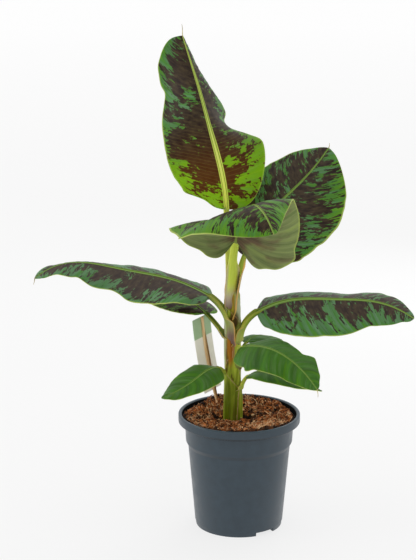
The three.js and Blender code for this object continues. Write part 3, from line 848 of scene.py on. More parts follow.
def add_node(tree, kind, inputs=None, stops=None, **settings):
    """Adds a node, sets its properties and ramp stops, and fills or links its inputs."""
    node = tree.nodes.new(kind)
    for name, value in settings.items():
        setattr(node, name, value)
    for index, (place, colour) in enumerate(stops or ()):
        if index > 1:
            node.color_ramp.elements.new(place)
        element = node.color_ramp.elements[index]
        element.position = place
        element.color = (*colour, 1)
    for name, value in (inputs or {}).items():
        socket = node.inputs[name]
        if isinstance(value, bpy.types.NodeSocket):
            tree.links.new(value, socket)
        elif getattr(socket, "type", "") == "RGBA" and len(value) == 3:
            socket.default_value = (*value, 1)
        else:
            socket.default_value = value
    return node


# A Mix node's colour sockets
FACTOR, COLOUR_A, COLOUR_B, COLOUR_OUT = 0, 6, 7, 2


def new_material(name):
    """An empty node material and its tree."""
    material = bpy.data.materials.new(name)
    material.use_nodes = True
    tree = material.node_tree
    tree.nodes.clear()
    return material, tree


def coordinates(tree, source="Object"):
    """Where a pattern is read: Object coordinates, or a vector kept at the vertices."""
    if source == "Object":
        return add_node(tree, "ShaderNodeTexCoord").outputs["Object"]
    return add_node(tree, "ShaderNodeAttribute", attribute_name=source).outputs["Vector"]


# Pot material


def moulded_polypropylene(name, colour, rough, specular):
    """Injection-moulded polypropylene: an even satin slate, with fine grain and faint dusty scuffs; the band under
    the ledge and the lip is painted shade, and the lip's top a painted highlight.
    """
    material, tree = new_material(name)
    place = coordinates(tree)
    # Scuffs are 12 mm across, and the moulded grain of 0.3 mm is drawn at 0.9 mm so that it shows
    scuff = add_node(tree, "ShaderNodeTexNoise", {"Vector": place, "Scale": 1 / (12 * MM), "Detail": 5})
    grain = add_node(tree, "ShaderNodeTexNoise", {"Vector": place, "Scale": 1 / (0.9 * MM), "Detail": 2})
    dusty = tuple(c * 1.12 + 0.001 for c in colour)
    dark = tuple(c * 0.94 for c in colour)
    tint = add_node(
        tree, "ShaderNodeValToRGB", {"Fac": scuff.outputs["Fac"]}, stops=((0.35, dark), (0.7, dusty))
    )
    gloss = add_node(
        tree, "ShaderNodeMapRange",
        {"Value": scuff.outputs["Fac"], "From Min": 0.3, "From Max": 0.7, "To Min": rough[0],
         "To Max": rough[1]},
    )
    # Painted shade: a darker band under the ledge and under the lip
    height = add_node(tree, "ShaderNodeSeparateXYZ", {"Vector": place})
    level = add_node(
        tree, "ShaderNodeMapRange", {"Value": height.outputs["Z"], "From Max": HEIGHT * MM}
    )
    unpainted = (1, 1, 1)
    bands = []
    for low, high, left in ((LEDGE_LOW + 1, COLLAR_LOW - 1, 0.7), (LIP_LOW - 2.5, LIP_LOW + 0.8, 0.3)):
        shadow_grey = (left, left, left)
        bands += [
            ((low - 2) / HEIGHT, unpainted), (low / HEIGHT, shadow_grey), (high / HEIGHT, shadow_grey),
            ((high + 1) / HEIGHT, unpainted),
        ]
    # Painted highlight: the lip's top is drawn paler
    bands += [((HEIGHT - 1) / HEIGHT, unpainted), (1, (1.6, 1.6, 1.6))]
    shade_and_highlight = add_node(tree, "ShaderNodeValToRGB", {"Fac": level.outputs["Result"]}, stops=bands)
    tint_with_painted_light = add_node(
        tree, "ShaderNodeMix",
        {FACTOR: 1.0, COLOUR_A: tint.outputs["Color"], COLOUR_B: shade_and_highlight.outputs["Color"]},
        data_type="RGBA", blend_type="MULTIPLY",
    )
    relief = add_node(
        tree, "ShaderNodeBump", {"Height": grain.outputs["Fac"], "Strength": 0.04, "Distance": 0.1 * MM}
    )
    shader = add_node(
        tree, "ShaderNodeBsdfPrincipled",
        {"Base Color": tint_with_painted_light.outputs[COLOUR_OUT], "Roughness": gloss.outputs["Result"], "IOR": 1.49,
         "Specular IOR Level": specular, "Normal": relief.outputs["Normal"]},
    )
    add_node(tree, "ShaderNodeOutputMaterial", {"Surface": shader.outputs["BSDF"]})
    return material


# Coir materials


def moist_coir(colour):
    """Pressed coconut fibre, moist: a matt rusty brown mat with dark gaps."""
    material, tree = new_material("moist coir mat")
    place = coordinates(tree)
    # Clumps are 9 mm across and strands 1.5 mm
    clumps = add_node(tree, "ShaderNodeTexNoise", {"Vector": place, "Scale": 1 / (9 * MM), "Detail": 6})
    strands = add_node(
        tree, "ShaderNodeTexNoise",
        {"Vector": place, "Scale": 1 / (1.5 * MM), "Detail": 4, "Distortion": 1.5},
    )
    dark = tuple(c * 0.04 for c in colour)
    light = tuple(min(c * 1.7, 1) for c in colour)
    tint = add_node(
        tree, "ShaderNodeValToRGB", {"Fac": clumps.outputs["Fac"]},
        stops=((0.45, dark), (0.62, colour), (0.8, light)),
    )
    gaps = add_node(
        tree, "ShaderNodeMapRange", {"Value": strands.outputs["Fac"], "From Min": 0.35, "From Max": 0.6}
    )
    streak = add_node(
        tree, "ShaderNodeMix",
        {FACTOR: gaps.outputs["Result"], COLOUR_A: tint.outputs["Color"], COLOUR_B: dark},
        data_type="RGBA",
    )
    relief = add_node(
        tree, "ShaderNodeBump", {"Height": strands.outputs["Fac"], "Strength": 0.9, "Distance": 1.2 * MM}
    )
    shader = add_node(
        tree, "ShaderNodeBsdfPrincipled",
        {"Base Color": streak.outputs[COLOUR_OUT], "Roughness": 0.95, "IOR": 1.45,
         "Normal": relief.outputs["Normal"]},
    )
    add_node(tree, "ShaderNodeOutputMaterial", {"Surface": shader.outputs["BSDF"]})
    return material


def coconut_fibre(name, colour, pale):
    """Loose coconut fibre: each strand its own shade, from dark brown to straw, with a dull gloss."""
    material, tree = new_material(name)
    tone = add_node(tree, "ShaderNodeSeparateXYZ", {"Vector": coordinates(tree, "tone")})
    dark = tuple(c * 0.04 for c in colour)
    tint = add_node(
        tree, "ShaderNodeValToRGB", {"Fac": tone.outputs["X"]},
        stops=((0.0, dark), (0.4, colour), (0.75, tuple(min(c * 2.2, 1) for c in colour)), (1.0, pale)),
    )
    # Streaks along a strand are under a millimetre
    grain = add_node(
        tree, "ShaderNodeTexNoise", {"Vector": coordinates(tree), "Scale": 1 / (1.2 * MM), "Detail": 3}
    )
    worn = add_node(
        tree, "ShaderNodeMapRange",
        {"Value": grain.outputs["Fac"], "From Min": 0.45, "From Max": 0.75, "To Max": 0.7},
    )
    streak = add_node(
        tree, "ShaderNodeMix",
        {FACTOR: worn.outputs["Result"], COLOUR_A: tint.outputs["Color"], COLOUR_B: dark},
        data_type="RGBA",
    )
    shader = add_node(
        tree, "ShaderNodeBsdfPrincipled",
        {"Base Color": streak.outputs[COLOUR_OUT], "Roughness": 0.75, "IOR": 1.5, "Specular IOR Level": 0.3},
    )
    add_node(tree, "ShaderNodeOutputMaterial", {"Surface": shader.outputs["BSDF"]})
    return material


# Stem and stalk materials


def living_sheath(colour):
    """Living leaf sheath: waxy yellow-green with fine ribs along it, stained and silvery where it ages."""
    material, tree = new_material("living leaf sheath")
    tone = add_node(tree, "ShaderNodeSeparateXYZ", {"Vector": coordinates(tree, "tone")})
    glow = add_node(tree, "ShaderNodeSeparateXYZ", {"Vector": coordinates(tree, "glow")})
    place = coordinates(tree)
    # The ribs are 1.1 mm apart and run up the stem, and broad streaks are 3.5 mm wide
    streaks = []
    for width, length, detail in ((1.1, 45, 4), (3.5, 60, 3)):
        stretched = add_node(
            tree, "ShaderNodeMapping",
            {"Vector": place, "Scale": (1 / (width * MM), 1 / (width * MM), 1 / (length * MM))},
        )
        streaks.append(
            add_node(
                tree, "ShaderNodeTexNoise",
                {"Vector": stretched.outputs["Vector"], "Scale": 1, "Detail": detail},
            )
        )
    ribs, bands = streaks
    banded = add_node(
        tree, "ShaderNodeValToRGB", {"Fac": bands.outputs["Fac"]},
        stops=((0.34, linear("#5d6b14")), (0.5, colour), (0.68, linear("#a7b23e"))),
    )
    total = banded.outputs["Color"]
    # Each stain is broken up by the ribs: how much of it there is, its colour and how hard its edge is
    stains = (
        (tone.outputs["Y"], "#4f5c00", 0.95), (glow.outputs["Z"], "#bccb42", 0.9),
        (tone.outputs["Z"], "#b7bda0", 0.9), (glow.outputs["Y"], "#a0591a", 0.95),
        (glow.outputs["X"], "#3f1f12", 0.95),
    )
    for amount, code, most in stains:
        share = add_node(
            tree, "ShaderNodeMath", {0: ribs.outputs["Fac"], 1: 1.1, 2: amount}, operation="MULTIPLY_ADD"
        )
        part = add_node(
            tree, "ShaderNodeMapRange",
            {"Value": share.outputs["Value"], "From Min": 0.72, "From Max": 1.6, "To Max": most},
        )
        total = add_node(
            tree, "ShaderNodeMix",
            {FACTOR: part.outputs["Result"], COLOUR_A: total, COLOUR_B: linear(code)}, data_type="RGBA",
        ).outputs[COLOUR_OUT]
    edge = add_node(
        tree, "ShaderNodeMix",
        {FACTOR: ribs.outputs["Fac"], COLOUR_A: linear("#7a5232"), COLOUR_B: linear("#d9b98a")},
        data_type="RGBA",
    )
    rimmed = add_node(
        tree, "ShaderNodeMix",
        {FACTOR: tone.outputs["X"], COLOUR_A: total, COLOUR_B: edge.outputs[COLOUR_OUT]},
        data_type="RGBA",
    )
    relief = add_node(
        tree, "ShaderNodeBump", {"Height": ribs.outputs["Fac"], "Strength": 0.3, "Distance": 0.4 * MM}
    )
    shader = add_node(
        tree, "ShaderNodeBsdfPrincipled",
        {"Base Color": rimmed.outputs[COLOUR_OUT], "Roughness": 0.45, "IOR": 1.42, "Specular IOR Level": 0.12,
         "Subsurface Weight": 0.08, "Subsurface Scale": 1.5 * MM, "Normal": relief.outputs["Normal"]},
    )
    add_node(tree, "ShaderNodeOutputMaterial", {"Surface": shader.outputs["BSDF"]})
    return material


def living_stalk(colour):
    """Living leaf stalk: smooth and waxy, yellow-green to deep green, bleached low down, dry at its wings."""
    material, tree = new_material("living leaf stalk")
    tone = add_node(tree, "ShaderNodeSeparateXYZ", {"Vector": coordinates(tree, "tone")})
    # The ribs are 0.9 mm apart and run along the stalk
    stretched = add_node(
        tree, "ShaderNodeMapping",
        {"Vector": coordinates(tree, "grow"), "Scale": (1 / (0.9 * MM), 1 / (30 * MM), 1 / MM)},
    )
    ribs = add_node(
        tree, "ShaderNodeTexNoise", {"Vector": stretched.outputs["Vector"], "Scale": 1, "Detail": 3}
    )
    light = add_node(
        tree, "ShaderNodeMix",
        {FACTOR: ribs.outputs["Fac"], COLOUR_A: colour, COLOUR_B: linear("#b9ca34")}, data_type="RGBA",
    )
    deep = add_node(
        tree, "ShaderNodeMix",
        {FACTOR: ribs.outputs["Fac"], COLOUR_A: linear("#4c7010"), COLOUR_B: linear("#284208")},
        data_type="RGBA",
    )
    bleached = add_node(
        tree, "ShaderNodeMix",
        {FACTOR: ribs.outputs["Fac"], COLOUR_A: linear("#c6b99c"), COLOUR_B: linear("#857868")},
        data_type="RGBA",
    )
    dry = add_node(
        tree, "ShaderNodeMix",
        {FACTOR: ribs.outputs["Fac"], COLOUR_A: linear("#e8c070"), COLOUR_B: linear("#b0781c")},
        data_type="RGBA",
    )
    brown = add_node(
        tree, "ShaderNodeMix",
        {FACTOR: ribs.outputs["Fac"], COLOUR_A: linear("#8a6f62"), COLOUR_B: linear("#43241a")},
        data_type="RGBA",
    )
    glow = add_node(tree, "ShaderNodeSeparateXYZ", {"Vector": coordinates(tree, "glow")})
    total = light.outputs[COLOUR_OUT]
    for share, layer in (
        (tone.outputs["Y"], deep), (tone.outputs["Z"], bleached), (glow.outputs["X"], brown),
        (tone.outputs["X"], dry),
    ):
        total = add_node(
            tree, "ShaderNodeMix",
            {FACTOR: share, COLOUR_A: total, COLOUR_B: layer.outputs[COLOUR_OUT]},
            data_type="RGBA",
        ).outputs[COLOUR_OUT]
    relief = add_node(
        tree, "ShaderNodeBump", {"Height": ribs.outputs["Fac"], "Strength": 0.2, "Distance": 0.3 * MM}
    )
    shader = add_node(
        tree, "ShaderNodeBsdfPrincipled",
        {"Base Color": total, "Roughness": 0.45, "IOR": 1.42, "Specular IOR Level": 0.15,
         "Subsurface Weight": 0.08, "Subsurface Scale": 1.5 * MM, "Normal": relief.outputs["Normal"]},
    )
    add_node(tree, "ShaderNodeOutputMaterial", {"Surface": shader.outputs["BSDF"]})
    return material


# Leaf materials


def blade_upper(name, green, blotch, amount, ribs, pitch):
    """Upper side of a living banana leaf: satin green, dark blotches drawn out along its side veins.

    The blade lets light through, so that it glows yellow-green and red-brown where it is lit from behind.
    """
    material, tree = new_material(name)
    grow = coordinates(tree, "grow")
    tone = add_node(tree, "ShaderNodeSeparateXYZ", {"Vector": coordinates(tree, "tone")})
    glow = add_node(tree, "ShaderNodeSeparateXYZ", {"Vector": coordinates(tree, "glow")})
    # Blotches are 14 mm along the rib and 30 mm along a vein, islands 6 by 10 mm, ragged ends 2.4 by 7 mm
    layers = []
    for pace, reach, detail in ((14, 30, 5), (6, 10, 3), (2.4, 7, 2)):
        spread = add_node(
            tree, "ShaderNodeMapping",
            {"Vector": grow, "Scale": (1 / (pace * MM), 1 / (reach * MM), 1 / MM)},
        )
        layers.append(
            add_node(
                tree, "ShaderNodeTexNoise",
                {"Vector": spread.outputs["Vector"], "Scale": 1, "Detail": detail, "Roughness": 0.6,
                 "Distortion": 0.35},
            )
        )
    total = add_node(
        tree, "ShaderNodeMath", {0: tone.outputs["X"], 1: 0.15, 2: layers[0].outputs["Fac"]},
        operation="MULTIPLY_ADD",
    )
    for layer, weight in ((layers[1], 0.46), (layers[2], 0.4)):
        total = add_node(
            tree, "ShaderNodeMath", {0: layer.outputs["Fac"], 1: weight, 2: total.outputs["Value"]},
            operation="MULTIPLY_ADD",
        )
    dark = add_node(
        tree, "ShaderNodeMapRange",
        {"Value": total.outputs["Value"], "From Min": 0.892, "From Max": 0.925, "To Max": amount},
    )
    # A blotch fades to maroon and olive in clouds of 12 mm
    faded = add_node(
        tree, "ShaderNodeMapRange",
        {"Value": layers[1].outputs["Fac"], "From Min": 0.36, "From Max": 0.64, "To Min": 0.75, "To Max": 0},
    )
    blotches = add_node(
        tree, "ShaderNodeMix",
        {FACTOR: faded.outputs["Result"], COLOUR_A: blotch, COLOUR_B: linear("#4c4029")},
        data_type="RGBA",
    )
    # Painted sheen: on a cool leaf the blotches are greyed, as the white room's reflection would grey them
    sheen_share = add_node(
        tree, "ShaderNodeMath", {0: glow.outputs["Z"], 1: 0.28}, operation="MULTIPLY", use_clamp=True
    )
    sheened_blotches = add_node(
        tree, "ShaderNodeMix",
        {FACTOR: sheen_share.outputs["Value"], COLOUR_A: blotches.outputs[COLOUR_OUT], COLOUR_B: linear("#6d6461")},
        data_type="RGBA",
    )
    # The green varies in bands 6 mm wide that follow the veins
    banded = add_node(
        tree, "ShaderNodeMapping", {"Vector": grow, "Scale": (1 / (6 * MM), 1 / (50 * MM), 1 / MM)}
    )
    mottle = add_node(
        tree, "ShaderNodeTexNoise",
        {"Vector": banded.outputs["Vector"], "Scale": 1, "Detail": 4, "Roughness": 0.6},
    )
    tinted = add_node(
        tree, "ShaderNodeMath", {0: glow.outputs["Z"], 1: -0.2, 2: mottle.outputs["Fac"]},
        operation="MULTIPLY_ADD",
    )
    cool = tuple(a * b for a, b in zip(green, (1.9, 1.18, 3.1)))
    warm = tuple(a * b for a, b in zip(green, (1.7, 1.35, 0.3)))
    greens = add_node(
        tree, "ShaderNodeValToRGB", {"Fac": tinted.outputs["Value"]},
        stops=((0.34, cool), (0.5, green), (0.68, warm)),
    )
    # Painted shade and sheen: the green is darker and lighter by turns, in bands 11 mm wide that follow the veins
    # too, as folds would shade it
    fold_bands = add_node(
        tree, "ShaderNodeMapping", {"Vector": grow, "Scale": (1 / (11 * MM), 1 / (70 * MM), 1 / MM)}
    )
    fold_shading = add_node(
        tree, "ShaderNodeTexNoise", {"Vector": fold_bands.outputs["Vector"], "Scale": 1, "Detail": 3}
    )
    shade = add_node(
        tree, "ShaderNodeValToRGB", {"Fac": fold_shading.outputs["Fac"]},
        stops=(
            (0.32, [mix(c, 0.8, amount) for c in (0.58, 0.6, 0.55)]), (0.5, (0.95, 0.95, 0.95)),
            (0.7, [mix(c, 1.15, amount) for c in (1.4, 1.35, 1.5)]),
        ),
    )
    greens_shaded = add_node(
        tree, "ShaderNodeMix",
        {FACTOR: 1.0, COLOUR_A: greens.outputs["Color"], COLOUR_B: shade.outputs["Color"]},
        data_type="RGBA", blend_type="MULTIPLY",
    )
    blotched = add_node(
        tree, "ShaderNodeMix",
        {FACTOR: dark.outputs["Result"], COLOUR_A: greens_shaded.outputs[COLOUR_OUT],
         COLOUR_B: sheened_blotches.outputs[COLOUR_OUT]},
        data_type="RGBA",
    )
    # A side vein shows as a fine paler line and a shallow groove, plainer where light comes through
    lines = add_node(
        tree, "ShaderNodeTexWave",
        {"Vector": grow, "Scale": 2 * math.pi / (20 * pitch), "Distortion": 0.8, "Detail": 2,
         "Detail Scale": 1.0},
        bands_direction="X",
    )
    thin = add_node(
        tree, "ShaderNodeMapRange",
        {"Value": lines.outputs["Fac"], "From Min": 0.9, "From Max": 1.0, "To Max": 1.0},
    )
    plainer = add_node(
        tree, "ShaderNodeMath", {0: glow.outputs["X"], 1: 0.56, 2: -0.025}, operation="MULTIPLY_ADD"
    )
    line_share = add_node(
        tree, "ShaderNodeMath", {0: thin.outputs["Result"], 1: plainer.outputs["Value"]},
        operation="MULTIPLY",
    )
    veined = add_node(
        tree, "ShaderNodeMix",
        {FACTOR: line_share.outputs["Value"], COLOUR_A: blotched.outputs[COLOUR_OUT],
         COLOUR_B: linear("#a5a04c")},
        data_type="RGBA",
    )
    # The last millimetre is a pale line
    edged = add_node(
        tree, "ShaderNodeMapRange",
        {"Value": tone.outputs["Z"], "From Min": 0.968, "From Max": 0.985, "To Max": mix(0.4, 0.85, amount)},
    )
    margin = add_node(
        tree, "ShaderNodeMix",
        {FACTOR: edged.outputs["Result"], COLOUR_A: veined.outputs[COLOUR_OUT], COLOUR_B: linear("#a9b95c")},
        data_type="RGBA",
    )
    # From the rib's middle outwards: a pale channel, a darker line, a bright lip, then the blade
    old, young = ribs
    rib = add_node(
        tree, "ShaderNodeMix", {FACTOR: glow.outputs["Y"], COLOUR_A: old, COLOUR_B: young}, data_type="RGBA"
    )
    profile = add_node(
        tree, "ShaderNodeValToRGB", {"Fac": tone.outputs["Y"]},
        stops=(
            (0.0, (1, 1, 1)), (0.16, (0.95, 0.95, 0.9)), (0.23, (0.32, 0.4, 0.14)),
            (0.31, (0.32, 0.4, 0.14)), (0.39, (1, 1, 0.8)), (0.5, (0.7, 0.75, 0.5)),
        ),
    )
    channel = add_node(
        tree, "ShaderNodeMix",
        {FACTOR: 1.0, COLOUR_A: rib.outputs[COLOUR_OUT], COLOUR_B: profile.outputs["Color"]},
        data_type="RGBA", blend_type="MULTIPLY",
    )
    on_rib = add_node(
        tree, "ShaderNodeMapRange",
        {"Value": tone.outputs["Y"], "From Min": 0.44, "From Max": 0.56, "To Min": 1, "To Max": 0},
    )
    ribbed = add_node(
        tree, "ShaderNodeMix",
        {FACTOR: on_rib.outputs["Result"], COLOUR_A: margin.outputs[COLOUR_OUT],
         COLOUR_B: channel.outputs[COLOUR_OUT]},
        data_type="RGBA",
    )
    relief = add_node(
        tree, "ShaderNodeBump", {"Height": lines.outputs["Fac"], "Strength": 0.1, "Distance": 0.3 * MM}
    )
    shader = add_node(
        tree, "ShaderNodeBsdfPrincipled",
        {"Base Color": ribbed.outputs[COLOUR_OUT], "Roughness": 0.46, "IOR": 1.4, "Specular IOR Level": 0.2,
         "Normal": relief.outputs["Normal"]},
    )
    lit = add_node(
        tree, "ShaderNodeMix",
        {FACTOR: dark.outputs["Result"], COLOUR_A: linear("#b8ee00"), COLOUR_B: linear("#80460e")},
        data_type="RGBA",
    )
    lit_rib = add_node(
        tree, "ShaderNodeMix",
        {FACTOR: on_rib.outputs["Result"], COLOUR_A: lit.outputs[COLOUR_OUT],
         COLOUR_B: channel.outputs[COLOUR_OUT]},
        data_type="RGBA",
    )
    through = add_node(tree, "ShaderNodeBsdfTranslucent", {"Color": lit_rib.outputs[COLOUR_OUT]})
    thick = add_node(
        tree, "ShaderNodeMath", {0: glow.outputs["X"], 1: on_rib.outputs["Result"]}, operation="MULTIPLY"
    )
    thin_share = add_node(
        tree, "ShaderNodeMath", {0: thick.outputs["Value"], 1: -0.75, 2: glow.outputs["X"]},
        operation="MULTIPLY_ADD",
    )
    both = add_node(
        tree, "ShaderNodeMixShader",
        {0: thin_share.outputs["Value"], 1: shader.outputs["BSDF"], 2: through.outputs["BSDF"]},
    )
    add_node(tree, "ShaderNodeOutputMaterial", {"Surface": both.outputs["Shader"]})
    return material


def blade_under(name, colour, tinge, pitch):
    """Underside of a living banana leaf: matt, bloomed grey-green, tinged brown towards the rib."""
    material, tree = new_material(name)
    grow = coordinates(tree, "grow")
    tone = add_node(tree, "ShaderNodeSeparateXYZ", {"Vector": coordinates(tree, "tone")})
    # Clouds of bloom are 22 mm across and drawn out along the veins
    wide = add_node(
        tree, "ShaderNodeMapping", {"Vector": grow, "Scale": (1 / (16 * MM), 1 / (34 * MM), 1 / MM)}
    )
    bloom = add_node(
        tree, "ShaderNodeTexNoise", {"Vector": wide.outputs["Vector"], "Scale": 1, "Detail": 5}
    )
    # The tinge is strongest by the rib and gone at the margin
    inner = add_node(
        tree, "ShaderNodeMath", {0: tone.outputs["Z"], 1: -0.28, 2: bloom.outputs["Fac"]},
        operation="MULTIPLY_ADD",
    )
    clouds = add_node(
        tree, "ShaderNodeMapRange",
        {"Value": inner.outputs["Value"], "From Min": 0.3, "From Max": 0.5, "To Max": 0.95},
    )
    tinged = add_node(
        tree, "ShaderNodeMix",
        {FACTOR: clouds.outputs["Result"], COLOUR_A: colour, COLOUR_B: tinge}, data_type="RGBA",
    )
    # Painted shade: bands 5 mm wide along the veins are drawn darker and lighter, as pleats would shade them
    banded = add_node(
        tree, "ShaderNodeMapping", {"Vector": grow, "Scale": (1 / (5 * MM), 1 / (60 * MM), 1 / MM)}
    )
    bands = add_node(
        tree, "ShaderNodeTexNoise", {"Vector": banded.outputs["Vector"], "Scale": 1, "Detail": 3}
    )
    shade = add_node(
        tree, "ShaderNodeValToRGB", {"Fac": bands.outputs["Fac"]},
        stops=((0.34, (0.62, 0.68, 0.6)), (0.52, (1, 1, 1)), (0.68, (1.25, 1.3, 1.0))),
    )
    shaded = add_node(
        tree, "ShaderNodeMix",
        {FACTOR: 1.0, COLOUR_A: tinged.outputs[COLOUR_OUT], COLOUR_B: shade.outputs["Color"]},
        data_type="RGBA", blend_type="MULTIPLY",
    )
    lines = add_node(
        tree, "ShaderNodeTexWave",
        {"Vector": grow, "Scale": 2 * math.pi / (20 * pitch), "Distortion": 0.8, "Detail": 2,
         "Detail Scale": 1.0},
        bands_direction="X",
    )
    thin = add_node(
        tree, "ShaderNodeMapRange",
        {"Value": lines.outputs["Fac"], "From Min": 0.85, "From Max": 1.0, "To Max": 0.16},
    )
    veined = add_node(
        tree, "ShaderNodeMix",
        {FACTOR: thin.outputs["Result"], COLOUR_A: shaded.outputs[COLOUR_OUT],
         COLOUR_B: linear("#b7bd8a")},
        data_type="RGBA",
    )
    edged = add_node(
        tree, "ShaderNodeMapRange",
        {"Value": tone.outputs["Z"], "From Min": 0.972, "From Max": 0.988, "To Max": 0.8},
    )
    margin = add_node(
        tree, "ShaderNodeMix",
        {FACTOR: edged.outputs["Result"], COLOUR_A: veined.outputs[COLOUR_OUT], COLOUR_B: linear("#a9b95c")},
        data_type="RGBA",
    )
    on_rib = add_node(
        tree, "ShaderNodeMapRange",
        {"Value": tone.outputs["Y"], "From Min": 0.35, "From Max": 0.6, "To Min": 1, "To Max": 0},
    )
    ribbed = add_node(
        tree, "ShaderNodeMix",
        {FACTOR: on_rib.outputs["Result"], COLOUR_A: margin.outputs[COLOUR_OUT],
         COLOUR_B: linear("#93a350")},
        data_type="RGBA",
    )
    relief = add_node(
        tree, "ShaderNodeBump", {"Height": lines.outputs["Fac"], "Strength": 0.15, "Distance": 0.3 * MM}
    )
    shader = add_node(
        tree, "ShaderNodeBsdfPrincipled",
        {"Base Color": ribbed.outputs[COLOUR_OUT], "Roughness": 0.6, "IOR": 1.4, "Specular IOR Level": 0.2,
         "Normal": relief.outputs["Normal"]},
    )
    through = add_node(tree, "ShaderNodeBsdfTranslucent", {"Color": linear("#eef2cc")})
    share = add_node(tree, "ShaderNodeSeparateXYZ", {"Vector": coordinates(tree, "glow")})
    both = add_node(
        tree, "ShaderNodeMixShader",
        {0: share.outputs["X"], 1: shader.outputs["BSDF"], 2: through.outputs["BSDF"]},
    )
    add_node(tree, "ShaderNodeOutputMaterial", {"Surface": both.outputs["Shader"]})
    return material


def blade_margin():
    """The leaf's thickened margin: a thin line of waxy yellow-green."""
    material, tree = new_material("leaf margin")
    # The margin's tint varies over 15 mm
    drift = add_node(
        tree, "ShaderNodeTexNoise", {"Vector": coordinates(tree), "Scale": 1 / (15 * MM), "Detail": 2}
    )
    tint = add_node(
        tree, "ShaderNodeValToRGB", {"Fac": drift.outputs["Fac"]},
        stops=((0.35, linear("#9fb84e")), (0.65, linear("#d9dc7e"))),
    )
    shader = add_node(
        tree, "ShaderNodeBsdfPrincipled",
        {"Base Color": tint.outputs["Color"], "Roughness": 0.45, "IOR": 1.45},
    )
    add_node(tree, "ShaderNodeOutputMaterial", {"Surface": shader.outputs["BSDF"]})
    return material


def dry_filament():
    """The dry filament at a leaf's tip: a brittle straw-brown thread."""
    material, tree = new_material("dry leaf filament")
    drift = add_node(
        tree, "ShaderNodeTexNoise", {"Vector": coordinates(tree), "Scale": 1 / (4 * MM), "Detail": 2}
    )
    tint = add_node(
        tree, "ShaderNodeValToRGB", {"Fac": drift.outputs["Fac"]},
        stops=((0.35, linear("#8f7b50")), (0.65, linear("#c9bf8a"))),
    )
    shader = add_node(
        tree, "ShaderNodeBsdfPrincipled",
        {"Base Color": tint.outputs["Color"], "Roughness": 0.7, "IOR": 1.45},
    )
    add_node(tree, "ShaderNodeOutputMaterial", {"Surface": shader.outputs["BSDF"]})
    return material


# Label materials


def plain_card(colour, band):
    """Uncoated white card with a plain pale green band: matt, with faint paper fibre."""
    material, tree = new_material("uncoated card")
    tone = add_node(tree, "ShaderNodeSeparateXYZ", {"Vector": coordinates(tree, "tone")})
    # Paper fibre of 0.1 mm is drawn at 0.8 mm so that it shows
    pulp = add_node(
        tree, "ShaderNodeTexNoise", {"Vector": coordinates(tree), "Scale": 1 / (0.8 * MM), "Detail": 3}
    )
    darkening = add_node(
        tree, "ShaderNodeTexNoise", {"Vector": coordinates(tree), "Scale": 1 / (25 * MM), "Detail": 3}
    )
    field = add_node(
        tree, "ShaderNodeMix", {FACTOR: tone.outputs["X"], COLOUR_A: colour, COLOUR_B: band},
        data_type="RGBA",
    )
    worn = add_node(
        tree, "ShaderNodeMapRange",
        {"Value": darkening.outputs["Fac"], "From Min": 0.45, "From Max": 0.75, "To Max": 0.25},
    )
    aged = add_node(
        tree, "ShaderNodeMix",
        {FACTOR: worn.outputs["Result"], COLOUR_A: field.outputs[COLOUR_OUT],
         COLOUR_B: linear("#cfcdb8")},
        data_type="RGBA",
    )
    relief = add_node(
        tree, "ShaderNodeBump", {"Height": pulp.outputs["Fac"], "Strength": 0.15, "Distance": 0.1 * MM}
    )
    shader = add_node(
        tree, "ShaderNodeBsdfPrincipled",
        {"Base Color": aged.outputs[COLOUR_OUT], "Roughness": 0.65, "IOR": 1.45,
         "Normal": relief.outputs["Normal"]},
    )
    add_node(tree, "ShaderNodeOutputMaterial", {"Surface": shader.outputs["BSDF"]})
    return material


def raw_bamboo():
    """Split raw bamboo: dull tan with straight fine grain along it."""
    material, tree = new_material("split bamboo")
    grow = coordinates(tree, "grow")
    # Grain lines are 0.5 mm apart and run along the stick
    stretched = add_node(
        tree, "ShaderNodeMapping", {"Vector": grow, "Scale": (1 / (0.5 * MM), 1 / (25 * MM), 1)}
    )
    grain = add_node(
        tree, "ShaderNodeTexNoise", {"Vector": stretched.outputs["Vector"], "Scale": 1, "Detail": 4}
    )
    tint = add_node(
        tree, "ShaderNodeValToRGB", {"Fac": grain.outputs["Fac"]},
        stops=((0.3, linear("#d0a070")), (0.5, linear("#ecc592")), (0.7, linear("#fbe2b8"))),
    )
    relief = add_node(
        tree, "ShaderNodeBump", {"Height": grain.outputs["Fac"], "Strength": 0.3, "Distance": 0.2 * MM}
    )
    shader = add_node(
        tree, "ShaderNodeBsdfPrincipled",
        {"Base Color": tint.outputs["Color"], "Roughness": 0.7, "IOR": 1.5,
         "Normal": relief.outputs["Normal"]},
    )
    add_node(tree, "ShaderNodeOutputMaterial", {"Surface": shader.outputs["BSDF"]})
    return material


def studio_floor(colour):
    """White acrylic floor lit evenly from below, so that a shadow on it stays faint."""
    material, tree = new_material("lit acrylic floor")
    away = add_node(tree, "ShaderNodeVectorMath", {0: coordinates(tree)}, operation="LENGTH")
    # The light under it is a little stronger from six metres out
    strength = add_node(
        tree, "ShaderNodeMapRange",
        {"Value": away.outputs["Value"], "From Min": 0.8, "From Max": 6, "To Min": 0.76, "To Max": 0.825},
    )
    shader = add_node(
        tree, "ShaderNodeBsdfPrincipled",
        {"Base Color": colour, "Roughness": 0.8, "IOR": 1.49, "Specular IOR Level": 0.1,
         "Emission Color": (1, 1, 1), "Emission Strength": strength.outputs["Result"]},
    )
    add_node(tree, "ShaderNodeOutputMaterial", {"Surface": shader.outputs["BSDF"]})
    return material


# Operators


